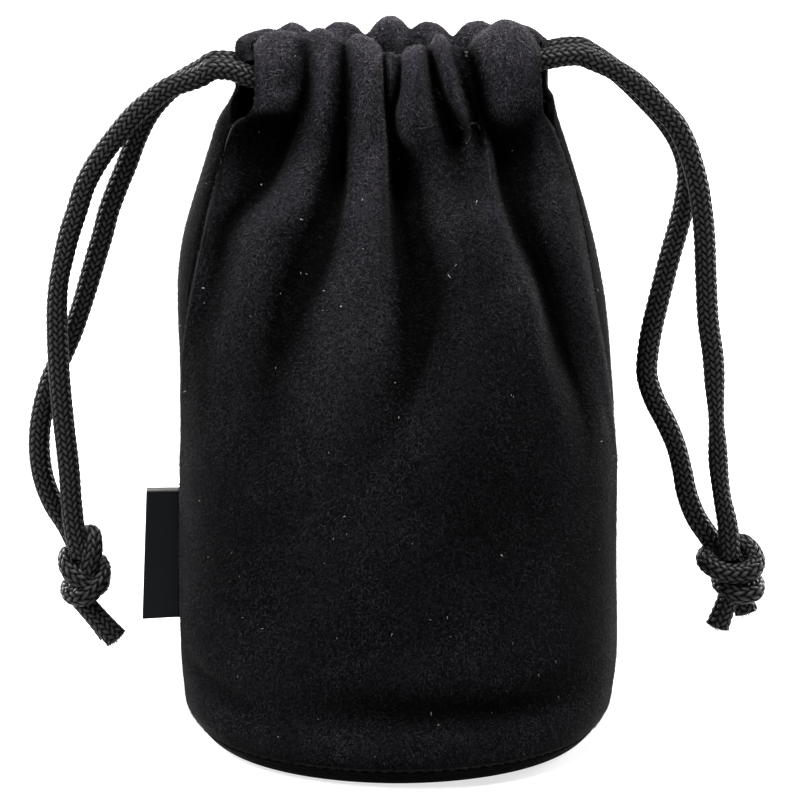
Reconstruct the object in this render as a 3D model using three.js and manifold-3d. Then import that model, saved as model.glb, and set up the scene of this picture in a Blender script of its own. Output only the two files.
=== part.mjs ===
// A soft drawstring lens pouch of black suede cloth, standing on its padded round base with the mouth drawn in.
// Millimetres, +Z up. The origin is the middle of the base's underside, and the front panel faces -Y.
import * as THREE from "three";
import { mergeVertices } from "three/addons/utils/BufferGeometryUtils.js";
import Module from "manifold-3d";

const wasm = await Module();
wasm.setup();

// Cloth body
const BODY_RADIUS = 44.5;
const POUCH_HEIGHT = 146.5;
const CLOTH = 1.4;
const SHOULDER_Z = 60;
const NECK_HALF_WIDTH = 33.4;
const NECK_HALF_DEPTH = 15;
const SHOULDER_WIDTH_POWER = 2.8;
const SHOULDER_DEPTH_POWER = 2.1;
const LEFT_SEAM_LEAN = 20;
const RIGHT_SEAM_LEAN = 10;
const SEAM_LEAN_HEIGHT = 49;
const SEAM_FLAT_ANGLE = 14;
const FOLD_POWER = 1.7;
const FOLD_CROWN = 8;
const GATHER_REACH = 18;
const CLEARANCE = 0.3;

// Base
const BASE_FLAT_RADIUS = 34.5;
const FOOT_CURVE = 20;
const BASE_SEAM_Z = 3.8;
const PAD_THICKNESS = 3;
const LINING = 0.8;

// Hems, threads and label
const HEM_SLACK = 3.2;
const NECK_OVERHANG = 3.4;
const HEM_POCKET = 8;
const HEM_INNER_WALL = 0.9;
const END_GATHER = 1.6;
const MIDDLE_GATHER = 4.8;
const HEM_LIP = 0.6;
const MOUTH_HALF_OPENING = 6.2;
const THREAD = 0.7;
const LABEL_HEIGHT = 27;
const LABEL_REACH = 7.2;
const LABEL_TAPE = 0.5;
const LABEL_SLIT = 0.6;
const LABEL_FOOT_Z = 25;

// Cords
const CORD = 4.5;
const CORD_PLAY = 0.5;
const STUB_INSIDE = 10;
const STUB_OUTSIDE = 4.6;
const LEFT_STUB_RISE = 1.8;
const RIGHT_STUB_RISE = 0.9;
const RIGHT_LANE_DIP = 1.2;
const LANE_GAP = 0.45;
const HANGING_GAP = 0.6;
const TAIL_LENGTH = 11;
const LEVEL_END = 0.8;
const DRAW_TOGETHER = 14;

// Fold lines of each panel, from its left seam to its right: the line's angle at the neck and where it dies out, both in
// degrees from the panel's middle towards +X, its length down from the neck, and how deep it is drawn in. The valleys
// are deep, and the crests between them stand out a little.
const FRONT_FOLDS = [
  { neck: -59, fade: -68, length: 36, depth: 4.5 },
  { neck: -44, fade: -60, length: 42, depth: 9 },
  { neck: -29, fade: -50, length: 46, depth: -1.2 },
  { neck: -20, fade: -37, length: 62, depth: 11 },
  { neck: -9, fade: -14, length: 62, depth: -1 },
  { neck: -3, fade: 5, length: 64, depth: 13 },
  { neck: 4, fade: 14, length: 60, depth: 6 },
  { neck: 10, fade: 21, length: 60, depth: 0.5 },
  { neck: 17, fade: 27, length: 22, depth: 2 },
  { neck: 23, fade: 34, length: 50, depth: -0.8 },
  { neck: 30, fade: 44, length: 56, depth: -1.4 },
  { neck: 37, fade: 55, length: 62, depth: 8.5 },
  { neck: 54, fade: 70, length: 60, depth: 2.6 },
];
const BACK_FOLDS = [
  { neck: -72, fade: -80, length: 40, depth: 0.5 },
  { neck: -51, fade: -68, length: 38, depth: 7.5 },
  { neck: -41, fade: -56, length: 46, depth: -0.8 },
  { neck: -31, fade: -44, length: 58, depth: 10 },
  { neck: -22, fade: -30, length: 54, depth: -0.8 },
  { neck: -13, fade: -17, length: 50, depth: 12.5 },
  { neck: -4, fade: -5, length: 47, depth: -0.8 },
  { neck: 5, fade: 7, length: 44, depth: 11.5 },
  { neck: 13, fade: 19, length: 49, depth: -0.8 },
  { neck: 21, fade: 31, length: 54, depth: 10.5 },
  { neck: 30, fade: 45, length: 48, depth: -0.8 },
  { neck: 39, fade: 58, length: 42, depth: 8.5 },
  { neck: 66, fade: 74, length: 40, depth: 0 },
];

// Rounded gathers along each hem: centre along X and half width.
const FRONT_GATHERS = [[-24.5, 6], [-14.6, 4], [-6.8, 4], [2.6, 5], [12, 4], [23.5, 7.5]];
const BACK_GATHERS = [[-24, 6.5], [-13, 4.5], [-4, 4.5], [5, 4.5], [13.5, 4], [23.5, 6.5]];

// Hanging cord routes: distance outwards and drop, both from where the cord clears the hem.
const LEFT_FRONT_ROUTE = [
  [5, 1.6], [11.8, 4.4], [15, 6.8], [18, 9.4], [22, 14.2], [25.6, 19.2], [28.2, 24.1], [29.8, 29.1], [31.4, 34],
  [32.6, 39], [33.6, 44], [34, 49], [34, 54], [33.6, 64], [32.8, 73.6], [31.8, 83.5], [31.4, 90], [30.8, 95.5],
];
const LEFT_BACK_ROUTE = [
  [5, 1.7], [11, 5.4], [15.4, 10.4], [18, 15.6], [19.8, 20.6], [21.8, 25.5], [23.6, 30.5], [24.9, 35.5],
  [26.4, 40.5], [27.8, 45.4], [29.3, 50.4], [31, 55.3], [33.2, 60.3], [35.4, 65.2], [37.4, 72.6], [38, 80],
  [37.2, 86], [35.2, 91.4], [32.4, 96],
];
const RIGHT_FRONT_ROUTE = [
  [3.8, 0.8], [9, 3.3], [14, 6.9], [18, 11], [21, 14.4], [22.9, 18], [24.4, 22.3], [25.6, 27], [26.4, 32],
  [26.9, 37], [27.3, 46], [27.9, 55.8], [28.8, 62], [29.3, 70], [29.8, 79], [30.2, 86], [31, 92], [32, 97],
];
const RIGHT_BACK_ROUTE = [
  [3.8, 1], [9.6, 5], [15.2, 10.4], [19, 14.6], [22, 19.4], [23.6, 25], [23, 31.6], [21.6, 37.4], [20.2, 42.5],
  [19, 47.4], [17.8, 52.4], [16.7, 57.3], [15.9, 62.3], [15.7, 67.4], [17.2, 72.4], [19.6, 77.2], [21.6, 82],
  [22.9, 87], [23.9, 92], [25.8, 97], [28.4, 101],
];

// Knots: place as above, tilt of the knot, and how far each tail leans towards +X, in degrees.
const LEFT_KNOT = { out: 29, drop: 103.5, tilt: -14, frontTail: 34, backTail: 30 };
const RIGHT_KNOT = { out: 32.8, drop: 107.4, tilt: 52, frontTail: -13, backTail: 21 };
const KNOT_WRAP_RADIUS = 3.1;
const KNOT_WRAP_OFFSET = 2.9;
const KNOT_WRAP_TILT = 24;
const KNOT_CORE_HALF_LENGTH = 6.2;

// Heights and places that follow from the sizes above
const SEAM_GAP = THREAD + 2 * CLEARANCE;
const HEM_HEIGHT = 2 * CLOTH + 2 * CORD + HEM_SLACK;
const HEM_HALF_LENGTH = NECK_HALF_WIDTH - NECK_OVERHANG;
const HEM_BOTTOM = POUCH_HEIGHT - HEM_HEIGHT;
const HEM_MID = POUCH_HEIGHT - HEM_HEIGHT / 2;
const PANEL_TOP = HEM_BOTTOM - SEAM_GAP;
const PANEL_FOOT = BASE_SEAM_Z + SEAM_GAP / 2;
const TUNNEL_HALF_WIDTH = CORD / 2 + CORD_PLAY;
const TUNNEL_HALF_HEIGHT = HEM_HEIGHT / 2 - CLOTH;
const TUNNEL_END_Y = TUNNEL_HALF_WIDTH + HEM_INNER_WALL + CLEARANCE / 2;
const POCKET_X = HEM_HALF_LENGTH - HEM_POCKET;
const STUB_START = HEM_HALF_LENGTH - STUB_INSIDE;
const SPLIT_X = HEM_HALF_LENGTH + STUB_OUTSIDE;
const LANE_REACH = TUNNEL_HALF_HEIGHT - CORD / 2 - CLEARANCE;
const RIGHT_EXIT_Z = HEM_MID + LANE_REACH - RIGHT_LANE_DIP;
const LEFT_EXIT_Z = HEM_MID + LANE_REACH - CORD - LANE_GAP;

const clamp01 = (t) => Math.min(1, Math.max(0, t));
const radians = THREE.MathUtils.degToRad;
const mix = THREE.MathUtils.lerp;

function smooth(t) {
  const c = clamp01(t);
  return c * c * (3 - 2 * c);
}

// Materials
const suede = new THREE.MeshStandardMaterial({ color: "#18181a", roughness: 0.95, metalness: 0 });
const braid = new THREE.MeshStandardMaterial({ color: "#141415", roughness: 0.7, metalness: 0 });
const satin = new THREE.MeshStandardMaterial({ color: "#1b1b1c", roughness: 0.5, metalness: 0 });
const thread = new THREE.MeshStandardMaterial({ color: "#111112", roughness: 0.7, metalness: 0 });
const foam = new THREE.MeshStandardMaterial({ color: "#3a3a3c", roughness: 1, metalness: 0 });

// Solids and meshes
function positionsOnly(geometry) {
  geometry.deleteAttribute("normal");
  geometry.deleteAttribute("uv");
  return mergeVertices(geometry, 1e-5);
}

function toSolid(geometry) {
  return new wasm.Manifold(new wasm.Mesh({
    numProp: 3,
    vertProperties: new Float32Array(geometry.attributes.position.array),
    triVerts: new Uint32Array(geometry.index.array),
  }));
}

function fromSolid(solid) {
  const mesh = solid.getMesh();
  const geometry = new THREE.BufferGeometry();
  geometry.setAttribute("position", new THREE.BufferAttribute(new Float32Array(mesh.vertProperties), 3));
  geometry.setIndex(new THREE.BufferAttribute(new Uint32Array(mesh.triVerts), 1));
  return geometry;
}

function piece(name, geometry, material, parent) {
  const mesh = new THREE.Mesh(geometry, material);
  mesh.name = name;
  parent.add(mesh);
  return mesh;
}

function fromTriangles(points, triangles) {
  const geometry = new THREE.BufferGeometry().setFromPoints(points);
  geometry.setIndex(triangles);
  return geometry;
}

// A closed ribbon of rings: each ring is joined to the next, and the first and last rings are filled.
function ringLoft(rings) {
  const points = rings.flat();
  const count = rings[0].length;
  const triangles = [];
  for (let i = 0; i + 1 < rings.length; i += 1) {
    for (let j = 0; j < count; j += 1) {
      const a = i * count + j;
      const b = i * count + ((j + 1) % count);
      triangles.push(a, a + count, b, b, a + count, b + count);
    }
  }
  const last = (rings.length - 1) * count;
  for (let j = 1; j + 1 < count; j += 1) {
    triangles.push(0, j, j + 1, last, last + j + 1, last + j);
  }
  return fromTriangles(points, triangles);
}

function circleShape(diameter, sides) {
  const points = [];
  for (let i = 0; i < sides; i += 1) {
    const angle = (2 * Math.PI * i) / sides;
    points.push(new THREE.Vector2(diameter * Math.cos(angle) / 2, diameter * Math.sin(angle) / 2));
  }
  return new THREE.Shape(points);
}

function tube(points, diameter, sides, steps) {
  const extrudePath = new THREE.CatmullRomCurve3(points);
  return positionsOnly(new THREE.ExtrudeGeometry(circleShape(diameter, sides), { steps, extrudePath }));
}

// Body form: a round foot, a full round middle, and a shoulder that narrows to a flat oval neck.
function footRadius(z) {
  const t = clamp01(z / FOOT_CURVE);
  return BASE_FLAT_RADIUS + (BODY_RADIUS - BASE_FLAT_RADIUS) * Math.sqrt(1 - (1 - t) ** 2);
}

function halfWidth(z) {
  const t = clamp01((z - SHOULDER_Z) / (PANEL_TOP - SHOULDER_Z));
  return footRadius(z) - (BODY_RADIUS - NECK_HALF_WIDTH) * t ** SHOULDER_WIDTH_POWER;
}

function halfDepth(z) {
  const t = clamp01((z - SHOULDER_Z) / (PANEL_TOP - SHOULDER_Z));
  return footRadius(z) - (BODY_RADIUS - NECK_HALF_DEPTH) * t ** SHOULDER_DEPTH_POWER;
}

// A panel's angle from its middle to one of its side seams. High up, both seams lean towards the front.
function seamAngle(front, side, z) {
  const lean = radians(side < 0 ? LEFT_SEAM_LEAN : RIGHT_SEAM_LEAN) * smooth((z - SHOULDER_Z) / SEAM_LEAN_HEIGHT);
  return Math.PI / 2 - (front ? lean : -lean);
}

// The oval that the panels would make without folds, and the way out from it.
function ovalPoint(front, angle, z) {
  const facing = front ? -1 : 1;
  return new THREE.Vector3(halfWidth(z) * Math.sin(angle), facing * halfDepth(z) * Math.cos(angle), z);
}

function ovalOutwards(front, angle, z) {
  const facing = front ? -1 : 1;
  return new THREE.Vector3(Math.sin(angle) / halfWidth(z), facing * Math.cos(angle) / halfDepth(z), 0).normalize();
}

// A smooth curve through evenly spaced values, with the slope at each of the chord between its neighbours.
function smoothThrough(values, at) {
  const i = THREE.MathUtils.clamp(Math.floor(at), 0, values.length - 2);
  const t = at - i;
  const slope = (k) => {
    const before = Math.max(k - 1, 0);
    const after = Math.min(k + 1, values.length - 1);
    return (values[after] - values[before]) / (after - before);
  };
  const start = (1 + 2 * t) * (1 - t) ** 2 * values[i] + t * (1 - t) ** 2 * slope(i);
  return start + t * t * (3 - 2 * t) * values[i + 1] + t * t * (t - 1) * slope(i + 1);
}

// A point of one panel's outside: its place across, counted in fold lines from the left seam, and its height.
// Up the neck the panel comes out to the gathers of the hem above it.
function panelPoint(front, column, z) {
  const folds = front ? FRONT_FOLDS : BACK_FOLDS;
  const gap = SEAM_GAP / 2 / halfDepth(z);
  const left = gap - seamAngle(front, -1, z);
  const right = seamAngle(front, 1, z) - gap;
  const angles = [left];
  const insets = [0];
  for (const fold of folds) {
    const rise = clamp01((z - PANEL_TOP + fold.length) / (fold.length - FOLD_CROWN)) ** FOLD_POWER;
    angles.push(radians(mix(fold.fade, fold.neck, rise)));
    insets.push(fold.depth * rise);
  }
  angles.push(right);
  insets.push(0);
  const angle = smoothThrough(angles, column);
  const offSeam = smooth(Math.min(right - angle, angle - left) / radians(SEAM_FLAT_ANGLE));
  const inset = offSeam * smoothThrough(insets, column);
  const point = ovalPoint(front, angle, z).addScaledVector(ovalOutwards(front, angle, z), -inset);
  const facing = offSeam * smooth(3 * Math.cos(angle));
  const gathered = facing * smooth((z - PANEL_TOP + GATHER_REACH) / GATHER_REACH);
  const hemY = hemMiddleY(point.x) + hemOuterHalf(front ? FRONT_GATHERS : BACK_GATHERS, point.x) - HEM_LIP;
  point.y = mix(point.y, front ? -hemY : hemY, gathered);
  return point;
}

function panelNormal(front, column, z) {
  const h = 0.01;
  const across = panelPoint(front, column + h, z).sub(panelPoint(front, column - h, z));
  const upwards = panelPoint(front, column, z + h).sub(panelPoint(front, column, z - h));
  const normal = across.cross(upwards).normalize();
  return front ? normal : normal.negate();
}

// A seam line: the middle of the gap between the panels' side edges, at half the cloth's depth.
function seamPoint(side, z) {
  const point = ovalPoint(true, side * seamAngle(true, side, z), z);
  const inwards = new THREE.Vector3(point.x, point.y, 0).setLength(-CLOTH / 2);
  return point.add(inwards);
}

const FOOT_ROWS = 4;
const WALL_ROWS = 1;
const NECK_ROWS = 8;
const COLUMNS_PER_FOLD = 3;

function panelHeights() {
  const heights = [];
  const footStart = Math.acos(1 - PANEL_FOOT / FOOT_CURVE);
  for (let i = 0; i < FOOT_ROWS; i += 1) {
    heights.push(FOOT_CURVE * (1 - Math.cos(mix(footStart, Math.PI / 2, i / FOOT_ROWS))));
  }
  for (let i = 0; i < WALL_ROWS; i += 1) {
    heights.push(mix(FOOT_CURVE, SHOULDER_Z, i / WALL_ROWS));
  }
  for (let i = 0; i <= NECK_ROWS; i += 1) {
    heights.push(mix(SHOULDER_Z, PANEL_TOP, i / NECK_ROWS));
  }
  return heights;
}

// One half of the body: a shell one cloth thick between its two side seams.
function panel(front) {
  const columns = COLUMNS_PER_FOLD * ((front ? FRONT_FOLDS : BACK_FOLDS).length + 1);
  const outside = [];
  const inside = [];
  for (const z of panelHeights()) {
    for (let j = 0; j <= columns; j += 1) {
      const column = j / COLUMNS_PER_FOLD;
      const point = panelPoint(front, column, z);
      outside.push(point);
      inside.push(point.clone().addScaledVector(panelNormal(front, column, z), -CLOTH));
    }
  }
  return shell(outside, inside, columns + 1, front);
}

// Two equal grids of points, joined face to face round their edges.
function shell(outside, inside, columns, outwards) {
  const rows = outside.length / columns;
  const size = outside.length;
  const triangles = [];
  const quad = (a, b, c, d) => (outwards ? triangles.push(a, b, c, a, c, d) : triangles.push(a, c, b, a, d, c));
  for (let i = 0; i + 1 < rows; i += 1) {
    for (let j = 0; j + 1 < columns; j += 1) {
      const a = i * columns + j;
      quad(a, a + 1, a + columns + 1, a + columns);
      quad(size + a, size + a + columns, size + a + columns + 1, size + a + 1);
    }
  }
  const rim = [];
  for (let j = 0; j + 1 < columns; j += 1) rim.push(j);
  for (let i = 0; i + 1 < rows; i += 1) rim.push(i * columns + columns - 1);
  for (let j = columns - 1; j > 0; j -= 1) rim.push((rows - 1) * columns + j);
  for (let i = rows - 1; i > 0; i -= 1) rim.push(i * columns);
  rim.forEach((a, k) => {
    const b = rim[(k + 1) % rim.length];
    quad(b, a, size + a, size + b);
  });
  return fromTriangles([...outside, ...inside], triangles);
}

// Hem: a tunnel along the mouth, gathered outside, open at both ends and on the mouth side of each end pocket.
function hemMiddleY(x) {
  const t = clamp01(Math.abs(x) / STUB_START);
  return TUNNEL_END_Y + MOUTH_HALF_OPENING * Math.cos((Math.PI / 2) * t) ** 2;
}

// The gathers stand out further towards the middle of the mouth, where the hem bows outwards.
function hemOuterHalf(gathers, x) {
  const arcs = gathers.map(([middle, half]) => 1 - ((x - middle) / half) ** 2);
  const bow = Math.cos((Math.PI / 2) * clamp01(Math.abs(x) / STUB_START)) ** 2;
  return TUNNEL_HALF_WIDTH + CLOTH + mix(END_GATHER, MIDDLE_GATHER, bow) * Math.max(0, ...arcs);
}

const HEM_STEPS = 40;
const HEM_SIDES = 12;
const TUNNEL_STEPS = 20;
const TUNNEL_SIDES = 8;
const HEM_SQUARENESS = 5;

function hemSection(side, x, sides, innerHalf, outerHalf, halfHeight) {
  const ring = [];
  for (let j = 0; j < sides; j += 1) {
    const angle = (2 * Math.PI * (j + 0.5)) / sides;
    const c = Math.cos(angle);
    const s = Math.sin(angle);
    const across = (c < 0 ? innerHalf : outerHalf) * Math.sign(c) * Math.abs(c) ** (2 / HEM_SQUARENESS);
    const up = halfHeight * Math.sign(s) * Math.abs(s) ** (2 / HEM_SQUARENESS);
    ring.push(new THREE.Vector3(x, side * (hemMiddleY(x) + across), HEM_MID + up));
  }
  return side > 0 ? ring.reverse() : ring;
}

function hem(side, gathers) {
  const skin = [];
  for (let i = 0; i <= HEM_STEPS; i += 1) {
    const x = mix(-HEM_HALF_LENGTH, HEM_HALF_LENGTH, i / HEM_STEPS);
    const outer = hemOuterHalf(gathers, x);
    const inner = TUNNEL_HALF_WIDTH + HEM_INNER_WALL;
    skin.push(hemSection(side, x, HEM_SIDES, inner, outer, HEM_HEIGHT / 2));
  }
  const tunnel = [];
  for (let i = 0; i <= TUNNEL_STEPS; i += 1) {
    const x = (HEM_HALF_LENGTH + CLOTH) * mix(-1, 1, i / TUNNEL_STEPS);
    const half = TUNNEL_HALF_WIDTH;
    tunnel.push(hemSection(side, x, TUNNEL_SIDES, half, half, TUNNEL_HALF_HEIGHT));
  }
  let solid = toSolid(ringLoft(skin)).subtract(toSolid(ringLoft(tunnel)));
  const slotHeight = 2 * (TUNNEL_HALF_HEIGHT + CLEARANCE);
  for (const end of [-1, 1]) {
    const slot = new THREE.BoxGeometry(2 * HEM_POCKET, 2 * TUNNEL_END_Y, slotHeight);
    slot.translate(end * (POCKET_X + HEM_POCKET), 0, HEM_MID);
    solid = solid.subtract(toSolid(positionsOnly(slot)));
  }
  return fromSolid(solid);
}

// Base: a shallow dish whose turned-up rim meets the panels, a foam pad, and the lining over it.
const RIM_STEPS = 3;
const ROUND_STEPS = 48;

function baseDish() {
  const rim = BASE_SEAM_Z - SEAM_GAP / 2;
  const last = Math.acos(1 - rim / FOOT_CURVE);
  const spread = BODY_RADIUS - BASE_FLAT_RADIUS;
  const under = [new THREE.Vector2(0, 0)];
  const over = [new THREE.Vector2(0, CLOTH)];
  for (let i = 0; i <= RIM_STEPS; i += 1) {
    const angle = (last * i) / RIM_STEPS;
    const slope = new THREE.Vector2(FOOT_CURVE * Math.sin(angle), -spread * Math.cos(angle)).setLength(CLOTH);
    const r = BASE_FLAT_RADIUS + spread * Math.sin(angle);
    const z = FOOT_CURVE * (1 - Math.cos(angle));
    under.push(new THREE.Vector2(r, z));
    over.push(new THREE.Vector2(r - slope.x, z - slope.y));
  }
  return lathe([...under, ...over.reverse()]);
}

function lathe(profile) {
  const geometry = new THREE.LatheGeometry(profile, ROUND_STEPS);
  geometry.rotateX(Math.PI / 2);
  return positionsOnly(geometry);
}

function disc(radius, bottom, thickness) {
  const corners = [[0, 0], [radius, 0], [radius, thickness], [0, thickness]];
  return lathe(corners.map(([r, z]) => new THREE.Vector2(r, bottom + z)));
}

// Label: a tape folded at its outer edge, both ends sewn into the left seam. Its middle is its hinge line.
function labelTape() {
  const half = LABEL_TAPE + LABEL_SLIT / 2;
  const gap = LABEL_SLIT / 2;
  const bend = half - LABEL_REACH;
  const outline = new THREE.Shape();
  outline.moveTo(half / 2, half);
  outline.lineTo(bend + half, half);
  outline.absarc(bend + half, 0, half, Math.PI / 2, 1.5 * Math.PI, false);
  outline.lineTo(half / 2, -half);
  outline.lineTo(half, -gap);
  outline.lineTo(bend + half, -gap);
  outline.absarc(bend + half, 0, gap, 1.5 * Math.PI, Math.PI / 2, true);
  outline.lineTo(half, gap);
  const settings = { depth: LABEL_HEIGHT, bevelEnabled: false, curveSegments: 6 };
  return positionsOnly(new THREE.ExtrudeGeometry(outline, settings));
}

// Cord inside the hems: along the front tunnel, round the far end of the mouth, and back along the other tunnel.
function laneHeight(side, x) {
  const t = smooth((x + POCKET_X) / (2 * POCKET_X));
  if (side > 0) return mix(HEM_MID + LANE_REACH, RIGHT_EXIT_Z, t);
  return mix(LEFT_EXIT_Z, HEM_MID - LANE_REACH, t);
}

const CORD_SIDES = 8;
const LEG_POINTS = 16;
const TURN_POINTS = 6;
const RUN_STEPS = 38;
const STUB_STEPS = 7;
const STRAND_STEPS = 20;
const TAIL_STEPS = 3;

function cordRun(side) {
  const turnX = POCKET_X + CLEARANCE;
  const leg = [];
  for (let i = 0; i <= LEG_POINTS; i += 1) {
    const x = side * mix(STUB_START - CLEARANCE, -POCKET_X, i / LEG_POINTS);
    leg.push(new THREE.Vector3(x, -hemMiddleY(x), laneHeight(side, x)));
  }
  const turn = [];
  for (let i = 0; i <= TURN_POINTS; i += 1) {
    const angle = (Math.PI * i) / TURN_POINTS;
    const x = -side * (turnX + TUNNEL_END_Y * Math.sin(angle));
    turn.push(new THREE.Vector3(x, -TUNNEL_END_Y * Math.cos(angle), laneHeight(side, x)));
  }
  const back = leg.map((point) => new THREE.Vector3(point.x, -point.y, point.z)).reverse();
  return tube([...leg, ...turn, ...back], CORD, CORD_SIDES, RUN_STEPS);
}

// Free cord: a stub that leaves the hem, then a hanging strand from where the stub runs level.
function splitHeight(side) {
  return side < 0 ? LEFT_EXIT_Z + LEFT_STUB_RISE : RIGHT_EXIT_Z + RIGHT_STUB_RISE;
}

function stub(side, face) {
  const exit = side < 0 ? LEFT_EXIT_Z : RIGHT_EXIT_Z;
  const riseStart = HEM_HALF_LENGTH - HEM_POCKET / 4;
  const points = [];
  for (let i = 0; i <= STUB_STEPS; i += 1) {
    const x = mix(STUB_START, SPLIT_X, i / STUB_STEPS);
    const z = mix(exit, splitHeight(side), smooth((x - riseStart) / (SPLIT_X - riseStart)));
    points.push(new THREE.Vector3(side * x, face * TUNNEL_END_Y, z));
  }
  points.push(new THREE.Vector3(side * (SPLIT_X + LEVEL_END), face * TUNNEL_END_Y, splitHeight(side)));
  return tube(points, CORD, CORD_SIDES, STUB_STEPS);
}

function routePoints(side, face, route) {
  const hanging = (CORD + HANGING_GAP) / 2;
  const start = LEVEL_END + CLEARANCE;
  const level = [[start, 0], [start + LEVEL_END, 0]];
  return [...level, ...route].map(([out, drop]) => new THREE.Vector3(
    side * (SPLIT_X + out),
    face * mix(TUNNEL_END_Y, hanging, smooth(out / DRAW_TOGETHER)),
    splitHeight(side) - drop,
  ));
}

function knotPlace(side) {
  const knot = side < 0 ? LEFT_KNOT : RIGHT_KNOT;
  const place = new THREE.Matrix4().makeRotationY(radians(knot.tilt));
  return place.setPosition(side * (SPLIT_X + knot.out), 0, splitHeight(side) - knot.drop);
}

// Knot: two crossing wraps round a core, grown by a clearance where the strands and tails are cut back from it.
function knotSolid(grow) {
  const core = new THREE.SphereGeometry(1, 12, 8);
  core.rotateX(Math.PI / 2);
  core.scale(KNOT_WRAP_RADIUS + grow, KNOT_WRAP_RADIUS + grow, KNOT_CORE_HALF_LENGTH + grow);
  let solid = toSolid(positionsOnly(core));
  for (const end of [-1, 1]) {
    const wrap = new THREE.TorusGeometry(KNOT_WRAP_RADIUS, CORD / 2 + grow, CORD_SIDES, 12);
    wrap.rotateY(radians(end * KNOT_WRAP_TILT));
    wrap.translate(0, 0, end * KNOT_WRAP_OFFSET);
    solid = solid.add(toSolid(positionsOnly(wrap)));
  }
  return solid;
}

function cutByKnot(side, geometry) {
  const room = fromSolid(knotSolid(CLEARANCE)).applyMatrix4(knotPlace(side));
  return fromSolid(toSolid(geometry).subtract(toSolid(room)));
}

function strand(side, face, route) {
  const points = routePoints(side, face, route);
  const knot = new THREE.Vector3().setFromMatrixPosition(knotPlace(side));
  const last = points[points.length - 1].clone();
  points.push(new THREE.Vector3(mix(last.x, knot.x, 0.7), last.y, mix(last.z, knot.z, 0.7)));
  return cutByKnot(side, tube(points, CORD, CORD_SIDES, STRAND_STEPS));
}

function tail(side, face) {
  const knot = side < 0 ? LEFT_KNOT : RIGHT_KNOT;
  const lean = radians(face < 0 ? knot.frontTail : knot.backTail);
  const heading = new THREE.Vector3(Math.sin(lean), 0, -Math.cos(lean));
  const start = new THREE.Vector3(0, face * (CORD + HANGING_GAP) / 2, -KNOT_WRAP_OFFSET);
  start.applyMatrix4(knotPlace(side));
  const end = start.clone().addScaledVector(heading, TAIL_LENGTH);
  const middle = start.clone().lerp(end, 0.5);
  return cutByKnot(side, tube([start, middle, end], CORD, CORD_SIDES, TAIL_STEPS));
}

// Assembly
const lensPouch = new THREE.Group();
const pouch = new THREE.Group();
lensPouch.add(pouch);

const padBottom = CLOTH + CLEARANCE;
const liningBottom = padBottom + PAD_THICKNESS + CLEARANCE;
const liningRadius = footRadius(liningBottom) - CLOTH - 2 * CLEARANCE;
piece("base_dish", baseDish(), suede, pouch);
piece("base_pad", disc(BASE_FLAT_RADIUS, padBottom, PAD_THICKNESS), foam, pouch);
piece("base_lining", disc(liningRadius, liningBottom, LINING), suede, pouch);
piece("front_panel", panel(true), suede, pouch);
piece("back_panel", panel(false), suede, pouch);
piece("front_hem", hem(-1, FRONT_GATHERS), suede, pouch);
piece("back_hem", hem(1, BACK_GATHERS), suede, pouch);

const THREAD_SIDES = 5;
const SIDE_SEAM_STEPS = 16;
const HEM_SEAM_STEPS = 34;
const HEM_THREAD_INSET = 2 * CLOTH;
const baseSeamRadius = footRadius(BASE_SEAM_Z) - CLOTH / 2;
const baseThread = new THREE.TorusGeometry(baseSeamRadius, THREAD / 2, THREAD_SIDES, ROUND_STEPS);
piece("base_seam_thread", positionsOnly(baseThread), thread, pouch).position.z = BASE_SEAM_Z;

for (const [name, side] of [["left_seam_thread", -1], ["right_seam_thread", 1]]) {
  const points = [];
  for (let i = 0; i <= SIDE_SEAM_STEPS; i += 1) {
    points.push(seamPoint(side, mix(PANEL_FOOT + THREAD, PANEL_TOP - THREAD, i / SIDE_SEAM_STEPS)));
  }
  piece(name, tube(points, THREAD, THREAD_SIDES, SIDE_SEAM_STEPS), thread, pouch);
}

for (const [name, side, gathers] of [["front_hem_thread", -1, FRONT_GATHERS], ["back_hem_thread", 1, BACK_GATHERS]]) {
  const points = [];
  for (let i = 0; i <= HEM_SEAM_STEPS; i += 1) {
    const x = (HEM_HALF_LENGTH - HEM_THREAD_INSET) * mix(-1, 1, i / HEM_SEAM_STEPS);
    const y = hemMiddleY(x) + hemOuterHalf(gathers, x) - HEM_LIP - CLOTH / 2;
    points.push(new THREE.Vector3(x, side * y, PANEL_TOP + SEAM_GAP / 2));
  }
  piece(name, tube(points, THREAD, THREAD_SIDES, HEM_SEAM_STEPS), thread, pouch);
}

const label = new THREE.Group();
label.position.set(-(BODY_RADIUS + CLEARANCE + LABEL_TAPE + LABEL_SLIT / 2), 0, LABEL_FOOT_Z);
lensPouch.add(label);
piece("side_label", labelTape(), satin, label);

const ROUTES = {
  left: { side: -1, front: LEFT_FRONT_ROUTE, back: LEFT_BACK_ROUTE },
  right: { side: 1, front: RIGHT_FRONT_ROUTE, back: RIGHT_BACK_ROUTE },
};
for (const [name, { side, front, back }] of Object.entries(ROUTES)) {
  piece(`${name}_cord_run`, cordRun(side), braid, pouch);
  const cord = new THREE.Group();
  lensPouch.add(cord);
  piece(`${name}_front_stub`, stub(side, -1), braid, cord);
  piece(`${name}_back_stub`, stub(side, 1), braid, cord);
  const loop = new THREE.Group();
  cord.add(loop);
  piece(`${name}_front_strand`, strand(side, -1, front), braid, loop);
  piece(`${name}_back_strand`, strand(side, 1, back), braid, loop);
  piece(`${name}_front_tail`, tail(side, -1), braid, loop);
  piece(`${name}_back_tail`, tail(side, 1), braid, loop);
  const knot = piece(`${name}_knot`, fromSolid(knotSolid(0)), braid, loop);
  knotPlace(side).decompose(knot.position, knot.quaternion, knot.scale);
}

export default lensPouch;
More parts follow.
